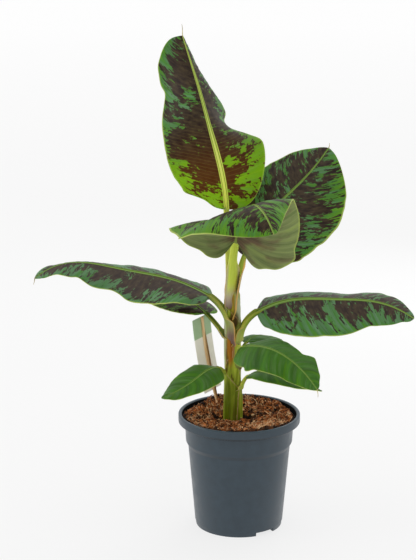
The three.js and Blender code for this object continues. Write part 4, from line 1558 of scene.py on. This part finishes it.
class PLANT_OT_stage(bpy.types.Operator):
    """Make the floor, the studio light and the camera"""

    bl_idname = "plant.stage"
    bl_label = "Stage"

    def execute(self, context):
        settings = context.scene.plant.stage
        fresh()
        bpy.ops.mesh.primitive_circle_add(vertices=96, radius=14, fill_type="NGON")
        floor = started("studio_floor")
        bpy.ops.object.mode_set(mode="EDIT")
        bpy.ops.mesh.select_all(action="SELECT")
        bpy.ops.mesh.inset(thickness=10)
        bpy.ops.mesh.inset(thickness=2.5)
        bpy.ops.object.mode_set(mode="OBJECT")
        floor.data.materials.append(studio_floor(settings.floor))
        self.softbox("top_softbox", (0.1, 0.25, 2.4), 1.8, settings.top_power)
        self.softbox("back_softbox", (0.6, 1.3, 0.9), 0.9, settings.back_power)
        self.softbox("left_softbox", (-1.6, -0.2, 0.9), 0.8, settings.side_power * 2)
        self.softbox("right_softbox", (1.6, -0.2, 0.9), 0.8, settings.side_power * 0.5)
        world = bpy.data.worlds.new("studio room")
        context.scene.world = world
        world.use_nodes = True
        background = world.node_tree.nodes["Background"]
        background.inputs["Color"].default_value = (1, 1, 1, 1)
        background.inputs["Strength"].default_value = settings.sky
        bpy.ops.object.camera_add(
            location=CAMERA_PLACE, rotation=(math.radians(90 - CAMERA_DROP), 0, 0)
        )
        camera = bpy.context.active_object
        camera.data.lens = CAMERA_LENS
        camera.data.dof.use_dof = False
        context.scene.camera = camera
        context.scene.view_settings.view_transform = "Standard"
        return {"FINISHED"}

    def softbox(self, name, place, size, power):
        """A square area light at a place, aimed at the middle of the plant."""
        aim = Vector((0, 0, 0.35)) - Vector(place)
        turn = aim.to_track_quat("-Z", "Y").to_euler()
        bpy.ops.object.light_add(type="AREA", location=place, rotation=turn)
        light = bpy.context.active_object
        light.name = name
        light.data.size = size
        light.data.energy = power
        light.visible_camera = False
        light.visible_glossy = place[1] < 0 or place[2] > 2


class PLANT_OT_pot(bpy.types.Operator):
    """Make the nursery pot"""

    bl_idname = "plant.pot"
    bl_label = "Pot"

    def execute(self, context):
        settings = context.scene.plant.pot
        inner_foot = FOOT_TOP - WALL
        pot = turned(
            "pot_moulding",
            (
                (PAD, 0), (PAD + 2, RECESS), (FOOT - RING, RECESS), (FOOT - RING + 2, 0), (FOOT, 0),
                (FOOT_TOP - 0.5, FOOT_HIGH), (FOOT_TOP, FOOT_HIGH), (LEDGE, LEDGE_LOW),
                (COLLAR_FOOT, COLLAR_LOW), (COLLAR_TOP, LIP_LOW), (RIM, LIP_LOW), (RIM, HEIGHT),
                (MOUTH, HEIGHT), (MOUTH - 1.5, LIP_LOW + 3), (COLLAR_TOP - WALL, LIP_LOW - 1),
                (COLLAR_FOOT - WALL, COLLAR_LOW), (LEDGE - WALL, LEDGE_LOW), (inner_foot, FLOOR),
                (PAD, FLOOR),
            ),
            POT_SEGMENTS,
        )
        self.cut_drains(pot)
        self.cut_notches(pot)
        only(pot)
        bpy.ops.object.mode_set(mode="EDIT")
        lips = {(RIM, HEIGHT), (RIM, LIP_LOW), (MOUTH, HEIGHT)}
        pick(pot, "edges", lambda middle, edge: self.on_ring(edge, lips))
        bpy.ops.mesh.bevel(offset=settings.lip, segments=5, affect="EDGES")
        rounds = {(COLLAR_FOOT, COLLAR_LOW), (LEDGE, LEDGE_LOW), (COLLAR_TOP, LIP_LOW)}
        pick(pot, "edges", lambda middle, edge: self.on_ring(edge, rounds))
        bpy.ops.mesh.bevel(offset=1.1 * MM, segments=4, affect="EDGES")
        bpy.ops.object.mode_set(mode="OBJECT")
        finish_with(
            pot, "BEVEL", width=0.35 * MM, segments=2, limit_method="ANGLE", angle_limit=math.radians(38)
        )
        tidy(pot)
        outside = moulded_polypropylene("moulded polypropylene, slate", settings.plastic, (0.31, 0.43), 0.5)
        # Painted shade: the wall inside, below the lip, is drawn nearly black
        stain = tuple(c * 0.06 for c in settings.plastic)
        inside = moulded_polypropylene("coir-stained polypropylene", stain, (0.8, 0.95), 0.1)
        for material in (outside, inside):
            pot.data.materials.append(material)
        # Inner faces below the lip take the material with the painted shade
        for face in pot.data.polygons:
            middle = face.center / MM
            if 20 < middle.z < HEIGHT - 3 and math.hypot(middle.x, middle.y) < MOUTH:
                face.material_index = face.normal.dot(middle) < 0
        settle(pot, ("pot",), angle=35)
        return {"FINISHED"}

    @staticmethod
    def on_ring(edge, rings):
        """True for an edge that lies on one of the (radius, height) rings."""
        for radius, height in rings:
            ends = [vertex.co / MM for vertex in edge.verts]
            if all(abs(e.z - height) < 0.02 and abs(math.hypot(e.x, e.y) - radius) < 0.02 for e in ends):
                return True
        return False

    @staticmethod
    def cut_drains(pot):
        """Round holes through the floor."""
        for index in range(DRAINS["count"]):
            angle = 2 * math.pi * index / DRAINS["count"]
            place = Vector((math.cos(angle), math.sin(angle), 0)) * (DRAINS["ring"] * MM)
            fresh()
            bpy.ops.mesh.primitive_cylinder_add(
                vertices=32, radius=DRAINS["radius"] * MM, depth=4 * FLOOR * MM, location=place
            )
            cut_by(pot, started("drain_cutter"))

    @staticmethod
    def cut_notches(pot):
        """Openings in the foot ring that let water out."""
        wide = 2 * FOOT * math.sin(math.radians(NOTCHES["angle"] / 2)) * MM
        for index in range(NOTCHES["count"]):
            angle = math.radians(NOTCHES["azimuth"] + 360 * index / NOTCHES["count"])
            place = Vector((math.cos(angle), math.sin(angle), 0)) * ((FOOT - RING / 2) * MM)
            fresh()
            bpy.ops.mesh.primitive_cube_add(
                size=1, location=place, rotation=(0, 0, angle),
                scale=(3 * RING * MM, wide, 2 * NOTCHES["height"] * MM),
            )
            cutter = started("notch_cutter")
            bpy.ops.object.transform_apply(location=True, rotation=True, scale=True)
            cut_by(pot, cutter)


class PLANT_OT_soil(bpy.types.Operator):
    """Make the bed of coir, with its loose husk and fibres"""

    bl_idname = "plant.soil"
    bl_label = "Soil"

    def execute(self, context):
        settings = context.scene.plant.soil
        gap = CLEARANCE + 0.05
        edge = MOUTH - 1.7 - gap
        rings = 44
        level = SOIL_LEVEL + 20
        bed = turned(
            "coir_bed",
            [
                (FOOT_TOP - WALL - gap, FOOT_HIGH), (LEDGE - WALL - gap, LEDGE_LOW),
                (COLLAR_FOOT - WALL - gap, COLLAR_LOW), (COLLAR_TOP - WALL - gap, LIP_LOW - 1 + gap),
                (edge, LIP_LOW + 3 + gap),
            ]
            + [(edge * (1 - ring / (rings + 1)), level) for ring in range(rings + 1)],
            120,
        )
        for vertex in bed.data.vertices:
            x, y, z = vertex.co / MM
            if z > level - 1:
                vertex.co.z = self.surface(x, y) * MM
        bed.data.materials.append(moist_coir(settings.coir))
        settle(bed, ("soil",), angle=180)
        self.chips(settings)
        self.fibres(settings)
        return {"FINISHED"}

    @staticmethod
    def surface(x, y):
        """The bed's height: rough all over, and crumbled away from the wall here and there."""
        rough = noise.fractal(Vector((x, y, 0)) / 8, 0.7, 2.1, 4)
        away = math.hypot(x, y)
        azimuth = math.degrees(math.atan2(y, x))
        fall = 0
        for middle, spread in GAPS:
            fall += smooth(spread + 9, spread - 9, abs((azimuth - middle + 180) % 360 - 180))
        fall *= smooth(MOUTH - 10, MOUTH - 4, away + 3 * rough)
        height = soil_top(x, y) + 4 * smooth(MOUTH - 32, MOUTH - 6, away)
        for bump in LOOSE:
            reach = (x - bump["x"]) ** 2 + (y - bump["y"]) ** 2
            height += bump["height"] * math.exp(-reach / bump["spread"] ** 2)
        return height + 3.6 * rough * smooth(MOUTH - 1, MOUTH - 5, away) - 13 * fall

    @staticmethod
    def darkening(x, y):
        """How dark the coir is at a place: in random clumps, and as painted shade, darkest in the hollows and
        against the wall and less on the heap.
        """
        away = math.hypot(x, y)
        clumps = noise.noise(Vector((x / 3.6, y / 6, 1)))
        # Painted shade against the wall and, below, in the hollows; random clumps darken it too
        total = 0.7 * smooth(MOUTH - 7, MOUTH - 3, away) + 1.3 * clumps
        for bump in (*HOLLOWS, *LOOSE):
            reach = (x - bump["x"]) ** 2 + (y - bump["y"]) ** 2
            total -= bump["height"] / 8 * math.exp(-reach / (bump["spread"] * 1.05) ** 2)
        return min(max(total, -0.5), 1.6)

    @staticmethod
    def spot(chance, reach):
        """A place on the bed, clear of the stem."""
        while True:
            angle = chance.uniform(0, 2 * math.pi)
            radius = reach * math.sqrt(chance.random())
            x = radius * math.cos(angle)
            y = radius * math.sin(angle)
            if math.hypot(x - STEM[0][0], y - STEM[0][1]) > STEM[0][3] + 1:
                return x, y

    def chips(self, settings):
        """Bits of husk: one faceted lump is copied, turned and stretched, and all are joined."""
        fresh()
        bpy.ops.mesh.primitive_ico_sphere_add(subdivisions=1, radius=1)
        lump = started("husk_lump")
        corners = [vertex.co.copy() for vertex in lump.data.vertices]
        faces = [tuple(face.vertices) for face in lump.data.polygons]
        bpy.data.objects.remove(lump, do_unlink=True)
        chance = random.Random(5)
        points = []
        skins = []
        tones = []
        for _ in range(settings.chips):
            x, y = self.spot(chance, MOUTH - 5)
            size = chance.uniform(0.9, 3.6)
            shape = Vector((size, size * chance.uniform(0.4, 1), size * chance.uniform(0.3, 0.7)))
            turn = Quaternion(Vector((chance.uniform(-1, 1), chance.uniform(-1, 1), 1)).normalized(),
                              chance.uniform(0, 2 * math.pi))
            middle = Vector((x, y, self.surface(x, y) + 0.3 * size))
            first = len(points)
            # Painted shade: a bit in a hollow or by the wall is drawn darker
            shade = max(chance.uniform(0.02, 0.85) - 0.75 * self.darkening(x, y), 0)
            for corner in corners:
                worn = corner * chance.uniform(0.75, 1.15)
                points.append((middle + turn @ Vector(a * b for a, b in zip(worn, shape))) * MM)
                tones.append((shade, 0, 0))
            skins.extend(tuple(first + index for index in face) for face in faces)
        self.join("coir_husk", points, skins, tones, settings)

    def fibres(self, settings):
        """Loose fibres: thin three-sided strands that lie in curves over the bed."""
        chance = random.Random(8)
        points = []
        skins = []
        tones = []
        bends = 6
        for _ in range(settings.fibres):
            x, y = self.spot(chance, MOUTH - 5)
            heading = chance.uniform(0, 2 * math.pi)
            bend = chance.uniform(-0.7, 0.7)
            length = mix(4, settings.fibre_length / MM, chance.random() ** 4)
            thick = mix(0.25, 0.65, chance.random() ** 1.5)
            lift = chance.uniform(0.2, 2.2)
            arch = chance.uniform(-0.5, 2.2)
            # Painted shade: a fibre in a hollow or by the wall is drawn darker
            shade = min(max(1.15 * chance.random() ** 1.1 - 0.75 * self.darkening(x, y), 0), 1)
            first = len(points)
            for step in range(bends + 1):
                share = step / bends
                height = self.surface(x, y) + lift + arch * math.sin(math.pi * share)
                side = Vector((-math.sin(heading), math.cos(heading), 0))
                taper = thick * (1 - 0.8 * abs(2 * share - 1) ** 3)
                for corner in range(3):
                    angle = 2 * math.pi * corner / 3
                    ring = side * (math.cos(angle) * taper) + Vector((0, 0, math.sin(angle) * taper))
                    points.append((Vector((x, y, height)) + ring) * MM)
                    tones.append((shade, 0, 0))
                x += math.cos(heading) * length / bends
                y += math.sin(heading) * length / bends
                heading += bend
                away = math.hypot(x, y)
                if away > MOUTH - 4:
                    x *= (MOUTH - 4) / away
                    y *= (MOUTH - 4) / away
            for step in range(bends):
                for corner in range(3):
                    a = first + 3 * step + corner
                    b = first + 3 * step + (corner + 1) % 3
                    skins.append((a, b, b + 3, a + 3))
            skins.append((first + 2, first + 1, first))
            end = first + 3 * bends
            skins.append((end, end + 1, end + 2))
        self.join("coir_fibres", points, skins, tones, settings)

    @staticmethod
    def join(name, points, faces, tones, settings):
        """One mesh of many small things."""
        mesh = bpy.data.meshes.new(name)
        mesh.from_pydata([tuple(point) for point in points], [], faces)
        piece = bpy.data.objects.new(name, mesh)
        bpy.context.collection.objects.link(piece)
        keep_values(piece, "tone", tones)
        mesh.materials.append(coconut_fibre(f"{name} strands", settings.coir, linear("#ecc294")))
        tidy(piece, gap=1e-7)
        settle(piece, angle=30)


class PLANT_OT_stem(bpy.types.Operator):
    """Make the pseudostem out of its wrapped sheaths"""

    bl_idname = "plant.stem"
    bl_label = "Stem"

    def execute(self, context):
        settings = context.scene.plant.stem
        sides = 120
        rings = 190
        low = STEM_LOW.z
        high = STEM_HIGH.z + 8
        step = settings.step / MM

        layers = {}

        def mean(z):
            if z not in layers:
                layers[z] = sum(self.sheaths(degrees, z)[0] for degrees in range(0, 360, 15)) / 24
            return layers[z]

        def place(column, row):
            angle = 2 * math.pi * column / sides + math.pi / 2
            z = mix(low, high, row / rings)
            x, y, radius = stem_at(z)
            degrees = math.degrees(angle) % 360
            proud, margin = self.sheaths(degrees, z)
            found = self.stains(degrees, z)
            dome = math.sqrt(max(1 - max(z - high + 14, 0) ** 2 / 196, 0.02))
            ribs = 0.16 * math.cos(angle * 14 + z / 40) + 0.1 * math.cos(angle * 31 - z / 55)
            reach = (radius + step * (proud - mean(z)) + ribs) * dome
            aim = Vector((math.cos(angle), math.sin(angle), 0))
            point = Vector((x, y, z)) + aim * reach
            olive = min(found["olive"] + 0.4 * smooth(228, 190, z), 1)
            return (
                point, (0, z * MM, 0), (margin, olive, found["silver"]),
                (found["purple"], found["orange"], found["bright"]),
            )

        stem = shaped_grid("stem_sheaths", sides, rings, place)
        tidy(stem, ends=True)
        stem.data.materials.append(living_sheath(settings.sheath))
        settle(stem, ("pseudostem",), angle=50)
        return {"FINISHED"}

    @staticmethod
    def stains(degrees, z):
        """How much of each kind of stain there is at a place."""
        found = dict.fromkeys(("olive", "silver", "purple", "orange", "bright"), 0.0)
        for kind, angle, height, spread, rise, strength in STAINS:
            turn = (degrees - angle + 180) % 360 - 180
            away = (turn / spread) ** 2 + ((z - height) / rise) ** 2
            found[kind] += strength * math.exp(-(away**1.5))
        return {kind: min(value, 1) for kind, value in found.items()}

    @staticmethod
    def sheaths(degrees, z):
        """How many sheaths lie over each other at a place, and how near the outermost one's rim is."""
        proud = 0
        margin = 0
        for index, sheath in enumerate(SHEATHS):
            rim = sheath["rim"]
            if z > rim[0][0]:
                continue
            half = rim[-1][1]
            for (z0, half0), (z1, half1) in zip(rim, rim[1:]):
                if z > z1:
                    half = mix(half0, half1, (z0 - z) / (z0 - z1))
                    break
            wobble = 4 * noise.noise(Vector((z / 12, index * 7.3, 0)))
            away = abs((degrees - sheath["heading"] + 180) % 360 - 180)
            inside = min(half + wobble, 190) - away
            shown = smooth(rim[0][0], rim[0][0] - 4, z)
            proud += smooth(-2, 2, inside) * shown
            if inside > 0:
                margin = max(1 - inside / 7, 0) * shown * smooth(184, 172, half)
        return proud, margin


class PLANT_OT_petioles(bpy.types.Operator):
    """Make the ten leaf stalks"""

    bl_idname = "plant.petioles"
    bl_label = "Leaf stalks"

    def execute(self, context):
        settings = context.scene.plant.stem
        material = living_stalk(settings.stalk)
        for leaf in LEAVES:
            self.petiole(leaf, material)
        return {"FINISHED"}

    @staticmethod
    def petiole(leaf, material):
        """A channelled stalk whose foot flares and hugs the stem."""
        sides = 36
        rings = 72
        points = petiole_axis(leaf)
        ahead = blade_axis(leaf)
        stalk = leaf["stalk"]
        run_out = min(RUN_OUT, 0.08 * leaf["length"])
        overlap = 1 + run_out / stalk["length"]
        wings = stalk.get("wing", (8, 8))
        reach = stalk.get("reach", 0.35)

        def place(column, row):
            t = row / rings * overlap
            grown = min(t, 1)
            elevation = mix(stalk["elevation"], leaf["elevation"][0], grown)
            heading = mix(stalk["heading"], leaf["heading"][0], grown)
            forward, left, up = frame_at(elevation, heading, leaf["roll"][0] * grown)
            centre = at_share(points, t)
            past = max(t - 1, 0) * stalk["length"]
            if past:
                place_on = past / leaf["length"]
                forward, left, up = frame_at(*(along(leaf[k], place_on) for k in ("elevation", "heading", "roll")))
                centre = at_share(ahead, place_on)
            x, y, _ = stem_at(centre.z)
            inward = Vector((x, y, centre.z)) - centre
            sink = 6 * smooth(0.16, 0.0, t) * min(inward.length / 6, 1)
            centre += inward.normalized() * sink
            centre.z -= stalk.get("sag", 0) * math.sin(math.pi * grown)
            angle = 2 * math.pi * column / sides - math.pi / 2
            across = math.cos(angle)
            height = math.sin(angle)
            thick = stalk["thick"] * mix(stalk.get("foot", 1), 1, smooth(0.2, 0.55, t))
            half = stalk["width"] / 2 * mix(1.2, 0.92, grown) * thick * (1 - 0.4 * past / run_out)
            centre -= up * (0.9 * half * PETIOLE_DEPTH * past / run_out)
            spread = smooth(reach, reach * 0.7, t)
            wing = wings[0] if across > 0 else wings[1]
            wide = mix(half, max(wing, half), spread)
            deep = half * PETIOLE_DEPTH
            flange = spread * smooth(0.45, 0.85, abs(across)) * 0.6
            if height > 0:
                lips = math.exp(-(((abs(across) - 0.78) / 0.2) ** 2))
                height = (0.8 * lips - 0.12 * (1 - abs(across))) * min(height / 0.35, 1)
            hug = spread * (across * wide) ** 2 / 22
            point = centre + left * (across * wide) + up * (height * deep * (1 - flange) + hug)
            around = abs(math.atan2(math.cos(angle), -math.sin(angle))) * half * MM
            lip = smooth(0.55, 0.8, abs(across)) * smooth(0.2, 0.5, height)
            brink = spread * smooth(0.93, 0.98, abs(across))
            dry = lip * mix(0.35, 0.1, grown) + brink * 0.8
            if across < 0:
                dry = max(dry, stalk.get("dry", 0) * smooth(0.55, 0.75, -across) * smooth(1.0, 0.85, t))
            shade = mix(*stalk["shade"], grown) + 0.2 * smooth(0.3, -0.8, height)
            pale = mix(*stalk["pale"], smooth(*stalk.get("fade", (0.05, 0.5)), t))
            pale = max(pale, stalk.get("bloom", 0.3) * spread * smooth(0.5, 0.85, abs(across)))
            # A stalk's foot is stained purple-brown; where the stain is kept to one side, as on the left stalk, it
            # is painted shadow along the flange's edge
            none, full, side = stalk.get("stain", (0.1, 0, 0))
            stain = smooth(none, full, t) * (smooth(-0.1, 0.7, across * side) if side else 1)
            return (
                point, (around, t * stalk["length"] * MM, leaf["seed"] * MM),
                (min(dry, 1), min(shade, 1), min(pale, 1)), (stain, 0, 0),
            )

        piece = shaped_grid(f"stalk_{leaf['name']}", sides, rings, place)
        tidy(piece, ends=True)
        piece.data.materials.append(material)
        settle(piece, (f"petiole_{leaf['name']}",), angle=60)


class PLANT_OT_blades(bpy.types.Operator):
    """Make the ten leaf blades, with their ribs, margins and tip threads"""

    bl_idname = "plant.blades"
    bl_label = "Leaf blades"

    def execute(self, context):
        settings = context.scene.plant.leaf
        margin = blade_margin()
        filament = dry_filament()
        pitch = settings.vein_pitch
        ribs = (tuple(settings.rib), tuple(settings.young_rib))
        plain = tuple(settings.plain)
        finishes = {
            True: (
                blade_upper("blotched leaf, upper side", settings.green, settings.blotch, 1.0, ribs, pitch),
                blade_under("blotched leaf, underside", linear("#84905c"), linear("#6b5344"), pitch),
                margin,
            ),
            False: (
                blade_upper("plain leaf, upper side", plain, settings.blotch, 0.0, ribs, pitch),
                blade_under("plain leaf, underside", linear("#64844a"), linear("#6f8a50"), pitch),
                margin,
            ),
        }
        for leaf in LEAVES:
            self.blade(leaf, finishes[leaf["blotched"] > 0], settings)
            if "thread" in leaf:
                self.thread(leaf, filament)
        return {"FINISHED"}

    def blade(self, leaf, materials, settings):
        """A grid laid over the leaf's curves, then given its thickness, thicker along the rib."""
        columns = leaf["columns"]
        rows = leaf["rows"]
        axis = blade_axis(leaf)
        deepest = leaf["stalk"]["width"] * 0.45 * 1.1
        weights = {}

        def place(column, row):
            t = (1 - math.cos(math.pi * row / rows)) / 2
            side = 1 if column < columns else -1
            half = leaf["left"] if side == 1 else leaf["right"]
            least = mix(leaf["stalk"]["width"] * 0.45, 0.9, t)
            width = blade_width(leaf, half, t)
            rib = mix(leaf["stalk"]["width"] * leaf.get("rib", 0.45), 0.9, t**0.9)
            inner = abs(column - columns)
            share = self.share(inner, columns, rib, width)
            away = share * width
            point, normal = blade_point(leaf, axis, side, t, share, width)
            across = away / rib
            groove = 0.5 * math.exp(-(((across - 0.85) / 0.28) ** 2)) - 0.45 * math.exp(-((across / 0.5) ** 2))
            ripple = self.ripple(leaf, side, t, share, away)
            lean = mix(*half.get("veins", (0.25, 0.8)), t)
            origin = t * leaf["length"] - away * lean * (0.6 + 0.6 * share)
            pleat = noise.noise(Vector((origin / 4.5, leaf["seed"] * side, away / 40))) * smooth(0.02, 0.25, share)
            point += normal * (groove * min(rib, 2.5) * 0.5 + ripple + 0.6 * pleat * smooth(1, 0.9, share))
            grow = (origin * MM, side * away * MM, leaf["seed"] * MM * 9 + (side > 0) * 0.005)
            bias = self.bias(leaf, t, side * share)
            tone = (bias, min(across / 2, 1), share)
            glow = (self.glow(leaf, t), leaf.get("young", 0) * mix(1, 0.3, smooth(0, 0.6, t)), self.cool(leaf, t, side * share))
            rib_depth = max(least * 1.1, settings.thickness / MM)
            crown = math.sqrt(max(1 - (across / 1.25) ** 2, 0))
            depth = max(rib_depth * crown, settings.thickness / MM)
            weights[(column, row)] = depth / deepest
            return point, grow, tone, glow

        name = f"leaf_{leaf['name']}"
        piece = shaped_grid(name, 2 * columns, rows, place)
        group = piece.vertex_groups.new(name="depth")
        for vertex, (column, row) in zip(piece.data.vertices, self.order(2 * columns, rows)):
            group.add([vertex.index], min(weights[(column, row)], 1), "REPLACE")
        for material in materials:
            piece.data.materials.append(material)
        self.face_up(piece, axis, leaf)
        finish_with(
            piece, "SOLIDIFY", thickness=deepest * MM, offset=-1, vertex_group="depth",
            material_offset=1, material_offset_rim=2, use_rim=True,
        )
        piece.vertex_groups.clear()
        settle(piece, (f"blade_{leaf['name']}",), angle=55)

    @staticmethod
    def order(columns, rows):
        """The grid's own vertex order, as (column, row)."""
        for row in range(rows + 1):
            for column in range(columns + 1):
                yield column, row

    @staticmethod
    def share(inner, columns, rib, width):
        """How far out a column lies: five close columns make the rib, and the rest are even."""
        close = (0, 0.35, 0.65, 0.9, 1.15, 1.4)
        last = len(close) - 1
        squeeze = min(1, 0.75 * width / (close[last] * rib))
        edge = close[last] * rib * squeeze / width
        if inner <= last:
            return close[inner] * rib * squeeze / width
        return mix(edge, 1, (inner - last) / (columns - last))

    @staticmethod
    def ripple(leaf, side, t, share, away):
        """Waves that grow towards the margin, and the shallow pleats between side veins."""
        seed = leaf["seed"] + (0 if side > 0 else 40)
        wave = noise.noise(Vector((t * leaf["length"] / 26, seed, 0))) * share**2
        broad = noise.noise(Vector((t * leaf["length"] / 60, away / 45, seed + 9))) * share
        fade = smooth(0, 0.08, t) * smooth(1, 0.94, t)
        return leaf["wave"] * (2.2 * wave + 1.4 * broad) * fade

    @staticmethod
    def glow(leaf, t):
        """How much light a place lets through: the thin young leaf most, and most of all near its base."""
        low, high = leaf.get("glow", (0.08, 0.08))
        return mix(high, low, smooth(0.15, 0.62, t))

    @staticmethod
    def cool(leaf, t, place):
        """How bluish a place is, from -1 yellow-green to 1 blue-green: margins are the yellowest. The bluish tints
        on the top and right leaves are painted sheen, and a bluish leaf's blotches are greyed as painted sheen too.
        """
        total = leaf.get("cool", 0) - 0.5 * smooth(0.75, 1.0, abs(place)) * leaf.get("yellow_edge", 1)
        for along_place, across_place, reach, spread, strength in leaf.get("tints", ()):
            away = ((t - along_place) / reach) ** 2 + ((place - across_place) / spread) ** 2
            total += strength * math.exp(-away)
        return total

    @staticmethod
    def bias(leaf, t, place):
        """How much darker than even the blotching is at a place: darkest half-way out."""
        middle = 0.55 * (1 - (abs(place) / 0.72) ** 2)
        ends = -0.5 * smooth(0.1, 0.0, t) - 0.6 * smooth(0.88, 1.0, t)
        total = leaf["dark"] + middle + ends
        for along_place, across_place, reach, spread, strength in leaf["patches"]:
            away = ((t - along_place) / reach) ** 2 + ((place - across_place) / spread) ** 2
            total += strength * math.exp(-away)
        return total

    @staticmethod
    def face_up(piece, axis, leaf):
        """Turns the grid's faces so that the upper side is the outer one."""
        _, _, up = frame_at(along(leaf["elevation"], 0.5), along(leaf["heading"], 0.5), along(leaf["roll"], 0.5))
        middle = at_share(axis, 0.5) * MM
        nearest = min(piece.data.polygons, key=lambda face: (face.center - middle).length)
        if nearest.normal.dot(up) < 0:
            only(piece)
            bpy.ops.object.mode_set(mode="EDIT")
            bpy.ops.mesh.select_all(action="SELECT")
            bpy.ops.mesh.flip_normals()
            bpy.ops.object.mode_set(mode="OBJECT")

    @staticmethod
    def thread(leaf, material):
        """The dry filament that the tip runs out into."""
        length, elevation = leaf["thread"]
        start = blade_axis(leaf)[-1]
        heading = leaf["heading"][-1]
        sides = 8
        rings = 14

        def place(column, row):
            t = row / rings
            forward, left, up = frame_at(elevation, heading + 25 * t, 0)
            bow = Vector((math.sin(t * 3), math.cos(t * 2), 0)) * 0.8 * t
            centre = start + forward * (length * t - 1) + bow
            angle = 2 * math.pi * column / sides
            radius = THREAD_RADIUS * mix(1.6, 0.6, t)
            point = centre + (left * math.cos(angle) + up * math.sin(angle)) * radius
            return point, (0, t * length * MM, 0), (0, 0, 0)

        piece = shaped_grid(f"thread_{leaf['name']}", sides, rings, place)
        tidy(piece, ends=True)
        piece.data.materials.append(material)
        settle(piece, angle=60)


class PLANT_OT_label(bpy.types.Operator):
    """Make the blank label and the stick that carries it"""

    bl_idname = "plant.label"
    bl_label = "Label"

    def execute(self, context):
        settings = context.scene.plant.label
        columns = 24
        rows = 72
        band = 30

        def place(column, row):
            across = column / columns * 2 - 1
            reach = row / rows * LABEL["height"]
            centre, side, face = label_at(reach)
            point = centre + side * (across * LABEL["width"] / 2) + face * 0.4
            return point, (across * MM, reach * MM, 0), (smooth(band + 0.8, band - 0.8, reach), 0, 0)

        card = shaped_grid("label_blank", columns, rows, place)
        only(card)
        bpy.ops.object.mode_set(mode="EDIT")
        pick(card, "verts", lambda middle, vertex: len(vertex.link_edges) == 2)
        bpy.ops.mesh.bevel(offset=1.3 * MM, segments=4, affect="VERTICES")
        bpy.ops.object.mode_set(mode="OBJECT")
        card.data.materials.append(plain_card(settings.card, settings.band))
        finish_with(card, "SOLIDIFY", thickness=0.8 * MM, offset=-1)
        tidy(card, gap=1e-7)
        settle(card, ("label_card",), angle=40)
        self.stick()
        return {"FINISHED"}

    @staticmethod
    def stick():
        """A flat split stick with worn corners, a sawn top and a pointed foot."""
        sides = 24
        rings = 60
        ahead = (LABEL["thickness"] + STICK["thickness"]) / 2 + CLEARANCE

        def place(column, row):
            reach = row / rings * STICK["length"]
            centre, side, face = label_at(reach)
            taper = min(1, max((STICK["length"] - reach) / STICK["point"], 0.25))
            angle = 2 * math.pi * column / sides
            flat = [math.copysign(abs(f(angle)) ** 0.45, f(angle)) for f in (math.cos, math.sin)]
            worn = 0.12 * noise.noise(Vector((angle, reach / 9, 2)))
            point = centre + side * (STICK["aside"] + flat[0] * (STICK["width"] / 2 + worn) * taper)
            point += face * (ahead + flat[1] * (STICK["thickness"] / 2 + worn))
            around = abs(math.atan2(math.sin(angle), math.cos(angle))) * STICK["width"] / 2
            return point, (around * MM, reach * MM, 0), (0, 0, 0)

        stick = shaped_grid("split_stick", sides, rings, place)
        tidy(stick, ends=True)
        stick.data.materials.append(raw_bamboo())
        settle(stick, ("label_stick",), angle=45)


class PLANT_PT_panel(bpy.types.Panel):
    """The plant's tools and settings"""

    bl_idname = "PLANT_PT_panel"
    bl_label = "Potted banana plant"
    bl_space_type = "VIEW_3D"
    bl_region_type = "UI"
    bl_category = "Plant"

    def draw(self, context):
        layout = self.layout
        for operator in OPERATORS:
            layout.operator(operator.bl_idname)
        for group in ("stage", "pot", "soil", "stem", "leaf", "label"):
            settings = getattr(context.scene.plant, group)
            box = layout.box()
            for name in settings.bl_rna.properties.keys():
                if name not in {"rna_type", "name"}:
                    box.prop(settings, name)


OPERATORS = (
    PLANT_OT_stage,
    PLANT_OT_pot,
    PLANT_OT_soil,
    PLANT_OT_stem,
    PLANT_OT_petioles,
    PLANT_OT_blades,
    PLANT_OT_label,
)
CLASSES = (
    StageSettings,
    PotSettings,
    SoilSettings,
    StemSettings,
    LeafSettings,
    LabelSettings,
    PlantSettings,
    *OPERATORS,
    PLANT_PT_panel,
)


def register():
    for item in CLASSES:
        bpy.utils.register_class(item)
    bpy.types.Scene.plant = PointerProperty(type=PlantSettings)


def unregister():
    del bpy.types.Scene.plant
    for item in reversed(CLASSES):
        bpy.utils.unregister_class(item)


def main():
    """Builds the whole plant."""
    register()
    bpy.ops.plant.stage()
    bpy.ops.plant.pot()
    bpy.ops.plant.soil()
    bpy.ops.plant.stem()
    bpy.ops.plant.petioles()
    bpy.ops.plant.blades()
    bpy.ops.plant.label()


if __name__ == "__main__":
    main()
